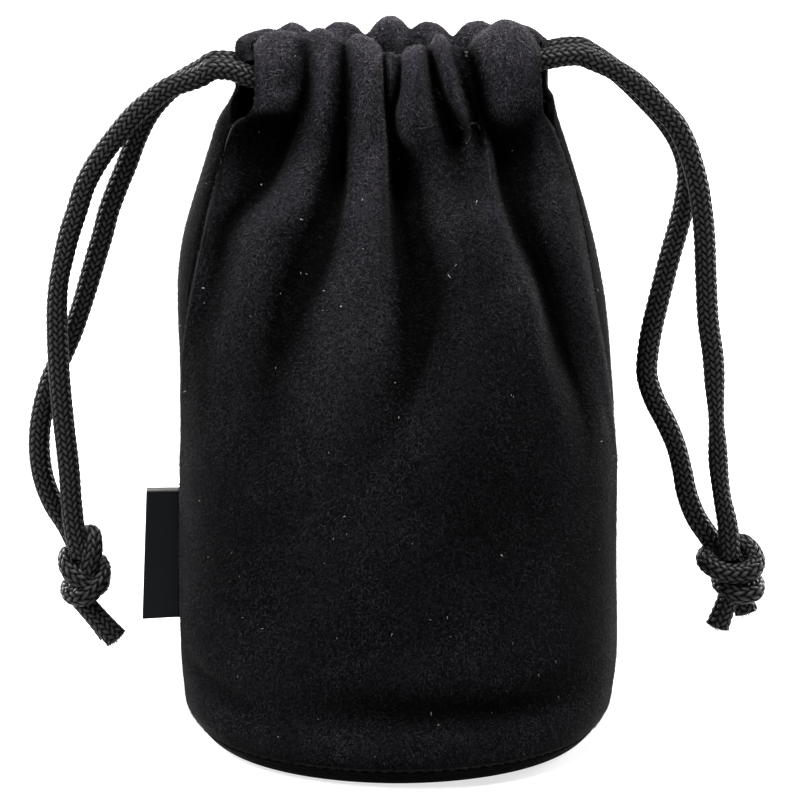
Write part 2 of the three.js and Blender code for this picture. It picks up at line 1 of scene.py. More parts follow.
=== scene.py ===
"""A soft drawstring lens pouch of black suede cloth, standing with its mouth drawn in and its cords hanging.

Lengths here are in millimetres, turned to metres where a mesh is made. The front faces -Y, the floor is
z = 0, and a wall's face is -1 at the front and 1 at the back.
"""

import bpy
import numpy as np
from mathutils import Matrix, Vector


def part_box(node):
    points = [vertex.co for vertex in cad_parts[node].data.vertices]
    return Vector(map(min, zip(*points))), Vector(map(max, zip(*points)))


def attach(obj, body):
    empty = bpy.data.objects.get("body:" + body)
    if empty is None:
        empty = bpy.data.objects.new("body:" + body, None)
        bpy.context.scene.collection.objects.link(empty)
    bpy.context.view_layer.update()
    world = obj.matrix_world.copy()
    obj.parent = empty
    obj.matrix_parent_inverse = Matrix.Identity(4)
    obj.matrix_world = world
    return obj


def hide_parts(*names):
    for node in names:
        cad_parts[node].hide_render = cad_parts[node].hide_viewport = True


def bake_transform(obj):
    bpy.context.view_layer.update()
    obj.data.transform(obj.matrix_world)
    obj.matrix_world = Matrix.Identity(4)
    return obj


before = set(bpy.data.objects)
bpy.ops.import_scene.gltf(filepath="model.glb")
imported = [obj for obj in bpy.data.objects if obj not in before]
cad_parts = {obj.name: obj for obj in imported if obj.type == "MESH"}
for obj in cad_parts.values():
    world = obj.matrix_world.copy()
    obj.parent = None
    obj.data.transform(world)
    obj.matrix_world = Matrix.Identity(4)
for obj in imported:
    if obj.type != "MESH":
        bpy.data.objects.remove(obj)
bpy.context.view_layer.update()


# Base round. The pouch stands on a round of the same black suede cloth as its walls.
# Its edge turns up all round and is sewn to the walls just above the floor.
MM = 0.001
CLOTH = 1.3
PRESSED_CLOTH = CLOTH * 0.8
BODY_RADIUS = 44.5
BASE_FLAT_RADIUS = 34.5
FOOT_CURVE = 20.0
BASE_SEAM_Z = 3.8
BASE_RIM_Z = BASE_SEAM_Z - 0.35
BASE_COLUMNS = 160
# A round piece starts this far from its axis, and one flat face closes its middle.
MIDDLE_RADIUS = 0.5
# The nap's clumps, fibres and brush strokes. A real fibre is far finer: it is drawn coarse enough to show.
NAP_CLUMP = 0.8
NAP_FIBRE = 0.4
NAP_STROKE = 8.0
NAP_RELIEF = 0.12
LINT_SPACING = 7.0
LINT_RADIUS = 0.16
LINT_CELLS = 0.45


def linear(colour):
    """An sRGB hex colour as linear RGBA: c / 12.92 when dark, else ((c + 0.055) / 1.055) to the power 2.4."""
    c = np.array([int(colour[i:i + 2], 16) for i in (1, 3, 5)]) / 255
    return (*np.where(c <= 0.04045, c / 12.92, ((c + 0.055) / 1.055) ** 2.4), 1.0)


def node(tree, kind, inputs=None, **settings):
    """Adds one shader node, sets its properties, and gives each named input a value or a link. A node that is
    given as an input stands for its first output."""
    made = tree.nodes.new("ShaderNode" + kind)
    for name, value in settings.items():
        setattr(made, name, value)
    for name, value in (inputs or {}).items():
        if isinstance(value, bpy.types.Node):
            value = value.outputs[0]
        if isinstance(value, bpy.types.NodeSocket):
            tree.links.new(value, made.inputs[name])
        else:
            made.inputs[name].default_value = value
    return made


def new_material(name):
    """An empty node material and its node tree."""
    made = bpy.data.materials.new(name)
    made.use_nodes = True
    made.node_tree.nodes.clear()
    return made, made.node_tree


def cell_corners(grid):
    """The four corners of every cell of a grid, in order round the cell."""
    return grid[:-1, :-1], grid[:-1, 1:], grid[1:, 1:], grid[1:, :-1]


def add_piece(name, mesh, material):
    """Gives a mesh its material and adds it to the scene."""
    mesh.materials.append(material)
    made = bpy.data.objects.new(name, mesh)
    bpy.context.collection.objects.link(made)
    return made


def surface(name, points, material, closed=False, uv=None, values=None):
    """A mesh of quads on a grid of points, rows by columns by xyz. closed joins the last column to the first
    and fills the first and last rows, uv is a grid of one more column than points when closed, and values are
    named numbers on the points."""
    rows, columns = points.shape[:2]
    grid = np.arange(rows * columns).reshape(rows, columns)
    if closed:
        grid = np.concatenate([grid, grid[:, :1]], axis=1)
    faces = np.stack(cell_corners(grid), axis=-1).reshape(-1, 4).tolist()
    if closed:
        faces += [grid[0, :columns][::-1].tolist(), grid[-1, :columns].tolist()]
    mesh = bpy.data.meshes.new(name)
    mesh.from_pydata((points.reshape(-1, 3) * MM).tolist(), [], faces)
    mesh.polygons.foreach_set("use_smooth", np.ones(len(faces), dtype=bool))
    for key, value in (values or {}).items():
        attribute = mesh.attributes.new(key, "FLOAT", "POINT")
        attribute.data.foreach_set("value", value.astype(np.float32).ravel())
    if uv is not None:
        corners = np.stack(cell_corners(uv), axis=2).reshape(-1, 2)
        loops = np.zeros((len(mesh.loops), 2), dtype=np.float32)
        loops[:len(corners)] = corners
        mesh.uv_layers.new(name="surface").data.foreach_set("uv", loops.ravel())
    return add_piece(name, mesh, material)


def suede_material():
    """Black microfibre suede, brushed: matt and nearly black, mottled by its short nap, with a soft pale edge
    where the nap is seen along its tips, and a few specks of lint. Crests and the hem are painted paler, a
    painted highlight, and folds are painted darker, a painted shade, through a value carried by the walls."""
    made, tree = new_material("black_microfibre_suede")
    place = node(tree, "TexCoord").outputs["Object"]
    clumps = node(tree, "TexNoise", {"Vector": place, "Scale": 1 / (NAP_CLUMP * MM), "Detail": 2.0})
    hairs = node(tree, "TexNoise", {"Vector": place, "Scale": 1 / (NAP_FIBRE * MM), "Detail": 1.0})
    strokes = node(tree, "TexNoise", {"Vector": place, "Scale": 1 / (NAP_STROKE * MM), "Detail": 3.0})
    mottle = node(tree, "Math", {0: clumps, 1: hairs}, operation="ADD")
    shade = node(tree, "MapRange", {"Value": mottle, "From Min": 0.72, "From Max": 1.28})
    brushed = node(tree, "MapRange", {"Value": strokes, "From Min": 0.3, "From Max": 0.7,
                                      "To Min": 0.6, "To Max": 1.3})
    # The walls' painted light: paler on crests and the hem, a painted highlight, and darker in folds, a
    # painted shade. It scales both the colour and the sheen.
    painted_light = node(tree, "Attribute", attribute_name="painted_light").outputs["Fac"]
    brightness = node(tree, "Math", {0: painted_light, 1: 1.0}, operation="ADD")
    stroked = node(tree, "Math", {0: shade, 1: brushed}, operation="MULTIPLY")
    lifted = node(tree, "Math", {0: stroked, 1: brightness}, operation="MULTIPLY")
    ground = node(tree, "MixRGB", {"Fac": stroked, "Color1": linear("#030304"), "Color2": linear("#0e0d0f")})
    pile = node(tree, "MixRGB", {"Fac": 1.0, "Color1": ground, "Color2": brightness}, blend_type="MULTIPLY")
    cells = node(tree, "TexVoronoi", {"Vector": place, "Scale": 1 / (LINT_SPACING * MM)})
    near = node(tree, "Math", {0: cells.outputs["Distance"], 1: LINT_RADIUS / LINT_SPACING},
                operation="LESS_THAN")
    pick = node(tree, "SeparateColor", {"Color": cells.outputs["Color"]})
    some = node(tree, "Math", {0: pick.outputs["Red"], 1: LINT_CELLS}, operation="LESS_THAN")
    lint = node(tree, "Math", {0: near, 1: some}, operation="MULTIPLY")
    faint = node(tree, "Math", {0: lint, 1: pick.outputs["Green"]}, operation="MULTIPLY")
    colour = node(tree, "MixRGB", {"Fac": faint, "Color1": pile, "Color2": linear("#8a857f")})
    sheen = node(tree, "MapRange", {"Value": lifted, "To Min": 0.02, "To Max": 0.17})
    relief = node(tree, "Bump", {"Height": mottle, "Strength": 0.8, "Distance": NAP_RELIEF * MM})
    shader = node(tree, "BsdfPrincipled", {
        "Base Color": colour, "Normal": relief, "Roughness": 1.0, "IOR": 1.45, "Specular IOR Level": 0.02,
        "Sheen Weight": sheen, "Sheen Roughness": 0.2, "Sheen Tint": linear("#b8b2ae")})
    node(tree, "OutputMaterial", {"Surface": shader})
    return made


def foot_radius(z):
    """The pouch's radius near the floor: a quarter ellipse from the flat round up to the full body."""
    t = np.clip(z / FOOT_CURVE, 0, 1)
    return BASE_FLAT_RADIUS + (BODY_RADIUS - BASE_FLAT_RADIUS) * np.sqrt(1 - (1 - t) ** 2)


def turned(profile, columns, wave=None):
    """Turns a profile of radius and height round the Z axis. wave lifts a point by its angle and radius."""
    angle = np.linspace(0, 2 * np.pi, columns, endpoint=False)[None, :]
    radius, height = profile[:, :1], profile[:, 1:]
    lift = 0 if wave is None else wave(angle, radius)
    return np.stack([radius * np.cos(angle), radius * np.sin(angle), height + lift + 0 * angle], axis=-1)


def base_profile():
    """Half a section of the round, from the middle below to the middle above: flat, then the start of the
    foot's quarter ellipse up to the rim, and the same again a cloth's thickness inside."""
    rise = np.linspace(0, np.arccos(1 - BASE_RIM_Z / FOOT_CURVE), 14)
    out = BASE_FLAT_RADIUS + (BODY_RADIUS - BASE_FLAT_RADIUS) * np.sin(rise)
    up = FOOT_CURVE * (1 - np.cos(rise))
    flat = np.linspace(MIDDLE_RADIUS, BASE_FLAT_RADIUS, 24, endpoint=False)
    under = np.concatenate([np.stack([flat, 0 * flat], 1), np.stack([out, up], 1)])
    inside = np.maximum(under[:, 0] - CLOTH * (under[:, 1] > 0), MIDDLE_RADIUS)
    over = np.stack([inside, under[:, 1] + PRESSED_CLOTH], 1)[::-1]
    return np.concatenate([under, over])


suede = suede_material()
base_round = surface("base_round", turned(base_profile(), BASE_COLUMNS), suede, closed=True)
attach(base_round, "pouch")
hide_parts("base_dish")


# Base pad. A round of soft grey foam lies in the base, under the lining, and keeps the bottom flat and
# cushioned. It is cut from sheet, so its edge is upright with soft corners, and its faces show open cells.
PAD_CROWN = 0.25
PAD_EDGE_ROUND = 0.9
PAD_COLUMNS = 96
FOAM_CELL = 0.9
FOAM_RELIEF = 0.3
pad_low, pad_high = (np.array(corner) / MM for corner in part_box("base_pad"))


def foam_material():
    """Open-cell polyurethane foam, sliced from a block: matt grey, with small pores painted dark, a painted
    shade.
    """
    made, tree = new_material("grey_open_cell_foam")
    place = node(tree, "TexCoord").outputs["Object"]
    cells = node(tree, "TexVoronoi", {"Vector": place, "Scale": 1 / (FOAM_CELL * MM)}).outputs["Distance"]
    # Darkest in the middle of each cell, where the bump sinks: a painted shade in the pores.
    colour = node(tree, "MixRGB", {"Fac": cells, "Color1": linear("#232325"), "Color2": linear("#4a4a4d")})
    relief = node(tree, "Bump", {"Height": cells, "Strength": 0.8, "Distance": FOAM_RELIEF * MM})
    shader = node(tree, "BsdfPrincipled", {
        "Base Color": colour, "Normal": relief, "Roughness": 1.0, "Specular IOR Level": 0.1})
    node(tree, "OutputMaterial", {"Surface": shader})
    return made


def pad_profile():
    """Half a section of the pad, from the middle below to the middle above: flat below, a quarter circle at
    each corner, and crowned above, where it falls as the square of the distance from the middle."""
    radius = pad_high[0]
    bottom, top = pad_low[2], pad_high[2] - PAD_CROWN
    inside = np.linspace(MIDDLE_RADIUS, radius - PAD_EDGE_ROUND, 20)
    corner = np.linspace(-np.pi / 2, 0, 7)[1:]
    low = np.stack([radius - PAD_EDGE_ROUND + PAD_EDGE_ROUND * np.cos(corner),
                    bottom + PAD_EDGE_ROUND + PAD_EDGE_ROUND * np.sin(corner)], 1)
    high = np.stack([low[:, 0], top + bottom - low[:, 1]], 1)[::-1]
    crown = np.stack([inside, top + PAD_CROWN * (1 - (inside / radius) ** 2)], 1)[::-1]
    return np.concatenate([np.stack([inside, 0 * inside + bottom], 1), low, high, crown])


base_foam = surface("base_foam", turned(pad_profile(), PAD_COLUMNS), foam_material(), closed=True)
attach(base_foam, "pouch")
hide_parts("base_pad")


# Base lining. A thin round of the same suede covers the foam and is caught in the base seam.
# It is a little slack, so it lies in low waves.
LINING_WAVE = 0.25
LINING_WAVES_ROUND = 5
LINING_WAVE_TURN = 0.06
LINING_MARGIN = 0.3
LINING_LIFT = 0.2
LINING_COLUMNS = 120
lining_low, lining_high = (np.array(corner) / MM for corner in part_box("base_lining"))


def lining_wave(angle, radius):
    """Low waves: a sine of the angle, five times round, that turns with the radius and grows as its
    square."""
    height = LINING_WAVE * (radius / lining_high[0]) ** 2
    return height * np.sin(LINING_WAVES_ROUND * angle + LINING_WAVE_TURN * radius)


spread = np.linspace(MIDDLE_RADIUS, lining_high[0] - LINING_MARGIN, 36)
below = np.stack([spread, 0 * spread + lining_low[2] + LINING_LIFT], 1)
above = np.stack([spread, 0 * spread + lining_high[2]], 1)[::-1]
lining_points = turned(np.concatenate([below, above]), LINING_COLUMNS, lining_wave)
lining = surface("inner_lining", lining_points, suede, closed=True)
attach(lining, "pouch")
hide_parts("base_lining")


# Walls. Two pieces of black suede cloth, front and back, sewn together down both sides and to the base.
# Each is turned over at the top into a hem, and the cords drawn through the hems gather the cloth into
# pleats. Below, a pair of heights, angles or distances is a band over which something starts or ends.
SHOULDER_Z = 60.0
NECK_Z = 130.2
NECK_HALF_WIDTH = 34.0
NECK_HALF_DEPTH = 15.5
SHOULDER_WIDTH_POWER = 3.2
SHOULDER_DEPTH_POWER = 2.1
SHOULDER_LEAN = -1.9
LEAN_STARTS = (62.0, 102.0)
LEAN_ENDS = (127.0, 134.0)
SEAM_LEAN = {"left": 20.0, "right": 10.0}
SEAM_LEAN_STARTS = (SHOULDER_Z, 109.0)
SEAM_PARTS = (127.5, 133.5)
SEAM_GROOVE = 1.9
WALL_FOOT_Z = BASE_SEAM_Z + 0.25
HEM_END_ANGLES = {-1: (-63.0, 61.4), 1: (-80.0, 65.0)}
HEM_END_ROLL = {-1: 2.6, 1: 0.9}
HEM_ROLL_STARTS = (128.0, 133.0)
HEM_BOTTOM = 131.5
HEM_WALL_TOP = 137.5
HEM_TOP = 146.4
HEM_INSIDE = 3.2
HEM_INSIDE_BOTTOM = 131.0
HEM_SQUARENESS = 0.78
MOUTH_HALF_OPENING = 6.2
MOUTH_REACH = 20.0
CORD_MIDDLE_Y = 3.8
PLEAT_REACH = 5.0
PLEAT_REACH_MORE = 4.0
PLEAT_START_Z = 112.0
# Where the cosine of its angle is over this, the cloth of the neck follows the line of the hem in full.
PLEAT_SIDE = 0.35
# A valley of the hem lies lower at its top: by this share of its depth past a start, down to a deepest one.
VALLEY_TOP_DROP = 0.42
VALLEY_TOP_START = -0.8
VALLEY_TOP_DEEPEST = 5.0
INNER_GATHER = 0.9
INNER_GATHER_SPACING = 7.1
END_POCKET = (20.0, 23.0)
END_TUCK = 3.2
FURTHEST_SINE = 0.995
WALL_COLUMNS = 272
WALL_ROWS = {"foot": 15, "body": 27, "shoulder": 82, "hem": 9, "top": 28, "inside": 9}

# Fold lines of the front wall from its left edge to its right, as rows of height, x, and how far the cloth is
# drawn in from the full oval. A valley is drawn in and a crest stands out. Below its first row a line runs
# straight down.
FRONT_LINES = [
    [(60, -44.2, 0), (88, -41.8, 0), (100, -39.1, 0.3), (110, -36.6, 1), (118, -34, 1.8), (125, -31.8, 2.6),
     (129.5, -29.6, 2.4), (132.5, -28.6, 0.6), (148, -28.5, 0.9)],
    [(60, -43.3, 0), (88, -41, 0), (100, -38, 0.6), (110, -35.5, 1.8), (118, -31.4, 3.6), (125, -28, 5),
     (129.5, -26.4, 3.8), (132.5, -25.8, -1.2), (138, -25.4, -2.4), (148, -25.2, -2)],
    [(60, -41.8, 0), (88, -39.9, 0.2), (100, -37, 1), (110, -34.2, 3), (118, -28.4, 5.8), (125, -24.4, 7),
     (129.5, -22.2, 5), (132.5, -21.4, -0.6), (138, -21, -1), (148, -20.8, -0.6)],
    [(60, -39.8, 0), (88, -38.6, 0.3), (100, -35.6, 1.6), (110, -32.2, 4.4), (118, -25.2, 8.4),
     (125, -21.4, 9), (129.5, -20, 6.4), (133, -19.4, 2), (148, -19.2, 1.6)],
    [(60, -37.2, 0), (88, -36.8, 0), (100, -33.4, 0.4), (110, -29.8, 0.8), (118, -23.6, 1.2), (125, -20, 0.8),
     (129.5, -18.8, 0.2), (133, -18.3, 0.2), (148, -18.1, 0.4)],
    [(60, -34.1, 0), (88, -34, -0.8), (100, -30, -1.3), (110, -26, -1.4), (118, -20.4, -1),
     (125, -16.8, -1.6), (131.5, -15.2, -3), (140, -15.2, -3.4), (144, -15.2, -2.6), (148, -15.2, -2)],
    [(60, -30.5, 0), (88, -29.6, 0.5), (100, -25.6, 1.2), (110, -20.6, 2.4), (118, -15.6, 3),
     (125, -12.4, 1.8), (131.5, -12.1, 0.4), (148, -12.1, 0.4)],
    [(60, -26.6, 0), (75, -26, 1.2), (88, -23.4, 3.2), (100, -19, 5.8), (110, -14.6, 8), (118, -11.4, 10.6),
     (125, -10.7, 9), (131.5, -10.6, 4), (148, -10.8, 3.4)],
    [(60, -22.3, 0), (75, -19.5, 0), (88, -14.8, 0), (100, -12, 0), (110, -10.2, 0.2), (118, -9.6, 0.2),
     (125, -9.5, 0), (131.5, -9.3, 0.5), (148, -9.5, 0.6)],
    [(60, -17.6, 0), (75, -14, -0.7), (88, -9.6, -1), (100, -7, -0.8), (110, -6.1, -1), (118, -5.9, -1.2),
     (125, -6, -1.7), (131.5, -6.1, -2.6), (148, -6.6, -2.4)],
    [(60, -12.8, 0), (75, -8, 0.2), (88, -3.6, 0.8), (100, -2, 1.2), (110, -2.6, 0.8), (118, -2.7, 0.4),
     (125, -2.7, 0.3), (131.5, -3.2, 0.9), (148, -4, 1.2)],
    [(60, -7.7, 0), (75, -1.5, 1.3), (88, 3, 3.8), (100, 2.6, 7.4), (110, 0.2, 10.6), (118, -0.9, 12.6),
     (125, -1.4, 10.8), (131.5, -2.1, 6), (148, -3, 5.2)],
    [(60, -2.6, 0), (75, 3, 0.5), (88, 6.4, 2), (100, 5.8, 5), (110, 2.9, 8), (118, 1.2, 9.6),
     (125, -0.2, 8.4), (129, -1.2, 6.4), (132, -1.6, 5), (136, -1.5, 3), (148, -1.6, 2.6)],
    [(60, 2.6, 0), (75, 7, 0.3), (88, 9.6, 1.2), (100, 8.4, 3.2), (110, 5.4, 5.4), (118, 3.4, 6.4),
     (125, 1.4, 5.4), (129, -0.4, 4.6), (132, -0.9, 5), (136, -0.1, 5.2), (148, 0.3, 5)],
    [(60, 7.7, 0), (88, 12.6, 0.5), (100, 10.8, 1.6), (110, 7.8, 2.8), (118, 5.4, 3.2), (125, 3, 2.4),
     (129, 0.9, 1.2), (132, 0.3, 0.9), (138, 1.1, 0.8), (148, 1.5, 0.9)],
    [(60, 12.8, 0), (88, 15.4, 0.1), (100, 13, 0.5), (110, 10.2, 1), (118, 7.9, 1), (125, 6, 0.2),
     (131.5, 3.8, -1.5), (138, 3.5, -1.9), (148, 3.2, -1.7)],
    [(60, 17.6, 0), (88, 18, 0), (100, 15, 0), (110, 12.5, 0.2), (118, 10.6, 0), (125, 9.2, -0.2),
     (128.5, 8.6, 0.2), (131.5, 7.8, 1), (138, 6, 1.3), (148, 4.9, 1.4)],
    [(60, 22.3, 0), (88, 20.6, 0), (100, 17.4, -0.2), (110, 14.8, -0.2), (118, 12.8, -0.2),
     (123.5, 11.8, 0.4), (126.5, 11, 4), (129, 10.4, 7), (132, 9.5, 6.4), (138, 7.4, 5), (148, 5.9, 4.4)],
    [(60, 26.6, 0), (88, 23, 0), (100, 19.8, -0.4), (110, 17.2, -0.6), (118, 15.4, -0.8), (125, 14.2, -1.2),
     (128.5, 13.4, -1), (132, 12.3, -1.6), (138, 10.2, -2.6), (148, 8, -2.4)],
    [(60, 30.5, 0), (88, 26, 0), (100, 22.8, -0.6), (110, 19.6, -0.8), (118, 17.8, -0.8), (124.5, 16.8, 0.2),
     (127.5, 16, 2.2), (131, 15, 2.2), (138, 12.6, 1.2), (148, 9.9, 1.4)],
    [(60, 34.1, 0), (75, 32.4, -0.2), (88, 29, -0.6), (100, 26, -1.2), (110, 21.8, -1.4), (118, 19.3, -1.6),
     (125, 18.2, -1.2), (131, 16.2, 1.4), (138, 14, 1.2), (148, 11.4, 1.4)],
    [(60, 37.2, 0), (75, 36.4, 1.4), (88, 32.4, 4), (100, 28.6, 6.4), (110, 24, 7.6), (118, 21, 8.2),
     (125, 19.4, 6.4), (129, 18, 4.8), (132, 17, 3), (138, 15.4, 2.3), (148, 13.3, 2.6)],
    [(60, 39.8, 0), (75, 38.4, 0.8), (88, 34.8, 2.8), (100, 31, 5), (110, 26.6, 6.6), (118, 23.6, 7),
     (124, 21.6, 6), (127.5, 20, 2.2), (130.5, 18.8, -0.2), (138, 16.6, 0), (148, 14.9, 0.2)],
    [(60, 41.8, 0), (75, 40.2, 0.4), (88, 36.8, 1.8), (100, 33.2, 3.4), (110, 29.2, 4.8), (118, 26.6, 5.2),
     (125, 24.6, 4), (128.5, 23.4, 0.6), (131.5, 22.2, -2.2), (138, 20, -3.6), (148, 18, -3.4)],
    [(60, 43.3, 0), (88, 39, 0.9), (100, 35.6, 1.8), (110, 32.2, 2.6), (118, 29.8, 2.8), (126, 27.6, 2),
     (130, 26.4, 0.6), (133, 25.6, -1.5), (138, 25, -2.8), (148, 24, -2.8)],
    [(60, 44.2, 0), (88, 41.4, 0.3), (100, 38.6, 0.6), (110, 35.6, 0.8), (118, 33, 0.8), (126, 30.6, 0.6),
     (131, 29.2, 0.5), (135, 28.7, 0.4), (148, 28.2, 1)],
]
# Valleys of the back wall: x at the hem, x below where the valley runs out, its depth, and the height where
# it ends. The values after it are for all of them: half the width at the end, how much that narrows up to the
# neck, the shares of the climb that get a row, rows of height and half width above the neck, and the depths.
BACK_VALLEYS = [(-24.5, -37, 7.5, 90), (-16, -27, 10, 72), (-6.5, -12, 12.5, 80), (2.5, 5, 11.5, 86),
                (11, 21, 10.5, 76), (20, 35, 8.5, 88)]
VALLEY_HALF_WIDTH = 3.2
VALLEY_NARROWS = 1.8
VALLEY_CLIMB = (0.3, 0.6, 0.85)
VALLEY_TOP_ROWS = [(124, 1.5), (132, 1.8), (148, 2.0)]
VALLEY_SHOULDER = 0.1
VALLEY_NECK_Z = 122
VALLEY_NECK_SHARE = 0.9
VALLEY_HEM_DEPTH = 3.6
VALLEY_HEM_WALL = 2.6
VALLEY_HEM_SHOULDER = 0.5
# A crest of the back wall, as rows of height, share of the way from its low x to its x at the hem, and inset.
BACK_CREST = [(70, 0, 0), (100, 0.45, -0.6), (122, 1, -1), (132, 1, -1.8), (148, 1, -1.4)]
BACK_SEAM_LINES = [
    [(70, -43.9, 0), (100, -41.4, 0.2), (122, -33.6, 0.6), (132, -31.2, -0.8), (148, -31, -0.6)],
    [(70, 43.9, 0), (100, 41.2, 0.2), (122, 32.6, 0.6), (132, 27.2, -1.2), (148, 27, -1)]]
# The height of the hem's top edge along the mouth: x and height.
HEM_EDGE = {
    -1: [(-30, 142.6), (-28.6, 145), (-26.5, 146.7), (-23, 147.4), (-19, 146.6), (-16, 148.2), (-12, 146.8),
         (-7, 147.8), (-3, 146), (3.4, 145.8), (8, 147.6), (11, 145.8), (13.5, 145), (16.5, 147.2),
         (20.5, 149.8), (23.5, 149.2), (26.5, 146.8), (29, 143.8), (30.5, 142)],
    1: [(-34, 142.8), (-30, 145), (-22, 147.2), (-17.5, 146), (-14, 146.6), (-7, 145.6), (0, 146.6),
        (7, 145.6), (14, 146.6), (18, 147.6), (24, 147), (31, 143.6)]}

# The slack of a full pouch: waves over the body, a hollow above the base, a roll below it and a crease.
SLOW_WAVE = 0.7
CROSS_WAVE = 0.4
WAVES_START = (6.0, 20.0)
WAVES_END = (100.0, 120.0)
HOLLOW_DEPTH = 2.7
HOLLOW_Z = 17.0
HOLLOW_HALF_HEIGHT = 4.6
HOLLOW_ANGLE = {-1: 12.0, 1: -14.0}
HOLLOW_HALF_ANGLE = 44.0
ROLL_HEIGHT = 0.5
ROLL_Z = 8.0
ROLL_HALF_HEIGHT = 3.0
CREASE_DEPTH = 1.2
CREASE_Z = 15.5
CREASE_ANGLE = -45.0
CREASE_SLOPE = 0.13
CREASE_HALF_HEIGHT = 2.4
CREASE_STARTS = (-82.0, -64.0)
CREASE_ENDS = (-52.0, -32.0)

# The nap: its fibres, wider than real ones so that they show, the lint among them, how handling has
# brushed them, and how much paler they are painted on crests and the hem, a painted highlight, and how much
# darker in folds, a painted shade.
NAP_SEED = {-1: 6, 1: 8}
NAP_COUNT = 80000
NAP_LENGTH = 0.62
NAP_LENGTH_SHARES = (0.5, 1.3)
NAP_WIDTH = 0.13
NAP_ROOT = 0.05
NAP_RISE = 0.55
NAP_SPREAD = 0.75
NAP_DOWN = 0.5
NAP_SCATTER = 0.18
NAP_BRUSHED = 0.14
NAP_DARKEST = 0.1
NAP_SHADES = 0.2
NAP_PALEST = 0.95
PATCH_SHADE = 0.8
PATCH_CONTRAST = 0.16
STROKE_TURN = 1.2
LINT_SHARE = 0.0016
LINT_LENGTH_SHARE = 0.8
LINT_WIDTH_SHARE = 1.5
CREST_ROWS = 7
CREST_COLUMNS = 24
CREST_HEIGHT = 1.6
CREST_PALER = 1.1
FOLD_DARKER = 0.95
HEM_PALER = 1.1
HEM_PALER_STARTS = (116.0, 136.0)


def eased(at, start, end):
    """From 0 at start to 1 at end, level at both: 3 t squared less 2 t cubed, with t the share of the way."""
    t = np.clip((at - start) / (end - start), 0, 1)
    return t * t * (3 - 2 * t)


def bell(t):
    """A soft hump that is 1 at 0 and fades both ways: e to the power of minus t squared."""
    return np.exp(-t ** 2)


def unit(vectors):
    """Vectors brought to length 1."""
    return vectors / np.linalg.norm(vectors, axis=-1, keepdims=True)


def through(at, stops, values):
    """A smooth line through points: between two neighbours a cubic that has, at each, the slope of the chord
    across it. Beyond the ends it stays level."""
    stops = np.asarray(stops, float)
    values = np.asarray(values, float)
    slopes = np.gradient(values, stops)
    i = np.clip(np.searchsorted(stops, at) - 1, 0, len(stops) - 2)
    gap = stops[i + 1] - stops[i]
    t = np.clip((at - stops[i]) / gap, 0, 1)
    start = (1 + 2 * t) * (1 - t) ** 2 * values[i] + t * (1 - t) ** 2 * gap * slopes[i]
    return start + t * t * (3 - 2 * t) * values[i + 1] + t * t * (t - 1) * gap * slopes[i + 1]


def half_width(z):
    """Half the pouch's width: the foot, the full body, then less the shoulder's fall, which is a power of its
    height."""
    t = np.clip((z - SHOULDER_Z) / (NECK_Z - SHOULDER_Z), 0, 1)
    return foot_radius(z) - (BODY_RADIUS - NECK_HALF_WIDTH) * t ** SHOULDER_WIDTH_POWER


def half_depth(z):
    """Half the pouch's depth, which falls further than its width, so that the neck is a flat oval."""
    t = np.clip((z - SHOULDER_Z) / (NECK_Z - SHOULDER_Z), 0, 1)
    return foot_radius(z) - (BODY_RADIUS - NECK_HALF_DEPTH) * t ** SHOULDER_DEPTH_POWER


def mouth_share(x):
    """How near x is to the middle of the mouth: 1 there and 0 at its ends, as a cosine squared."""
    return np.cos(np.pi / 2 * np.clip(np.abs(x) / MOUTH_REACH, 0, 1)) ** 2


def hem_middle(x):
    """How far the cord in a hem lies from the middle of the mouth: most halfway along it."""
    return CORD_MIDDLE_Y + MOUTH_HALF_OPENING * mouth_share(x)


def hem_reach(x):
    """How far the pleats stand out from the cord: least on the smooth end flaps."""
    return PLEAT_REACH + PLEAT_REACH_MORE * mouth_share(x)


def seam_angles(face, z):
    """The angles of a wall's two side edges in degrees. Both seams lean forward up the shoulder, and at the
    hem the edges part, so that the cords can come out between them."""
    lean = eased(z, *SEAM_LEAN_STARTS)
    left = -90 - face * SEAM_LEAN["left"] * lean
    right = 90 + face * SEAM_LEAN["right"] * lean
    part = eased(z, *SEAM_PARTS)
    left_end, right_end = HEM_END_ANGLES[face]
    return left + (left_end - left) * part, right + (right_end - right) * part


def back_lines():
    """The back wall's fold lines, in the form of the front's: for each valley its two shoulders and its
    deepest line, with a crest halfway to the next valley. Up to the neck a valley deepens as the square
    of its share of the climb, and in the hem it is as deep as the hem allows."""
    lines = []
    for k, (top_x, low_x, deep, end) in enumerate(BACK_VALLEYS):
        for shift, share in ((-1, VALLEY_SHOULDER), (0, 1), (1, VALLEY_SHOULDER)):
            rows = [(end, low_x + VALLEY_HALF_WIDTH * shift, 0)]
            for climb in VALLEY_CLIMB:
                z = end + (VALLEY_NECK_Z - end) * climb
                x = low_x + (top_x - low_x) * eased(climb, 0, 1)
                aside = shift * (VALLEY_HALF_WIDTH - VALLEY_NARROWS * climb)
                rows.append((z, x + aside, share * deep * climb ** 2))
            fold = VALLEY_HEM_SHOULDER
            if shift == 0:
                fold = min(VALLEY_HEM_DEPTH, hem_reach(top_x) - VALLEY_HEM_WALL)
            depths = (share * deep * VALLEY_NECK_SHARE, fold, fold)
            rows += [(z, top_x + half * shift, depth) for (z, half), depth in zip(VALLEY_TOP_ROWS, depths)]
            lines.append(rows)
        if k + 1 < len(BACK_VALLEYS):
            crest_top = (top_x + BACK_VALLEYS[k + 1][0]) / 2
            crest_low = (low_x + BACK_VALLEYS[k + 1][1]) / 2
            across = crest_top - crest_low
            lines.append([(z, crest_low + across * way, inset) for z, way, inset in BACK_CREST])
    return BACK_SEAM_LINES[:1] + lines + BACK_SEAM_LINES[1:]


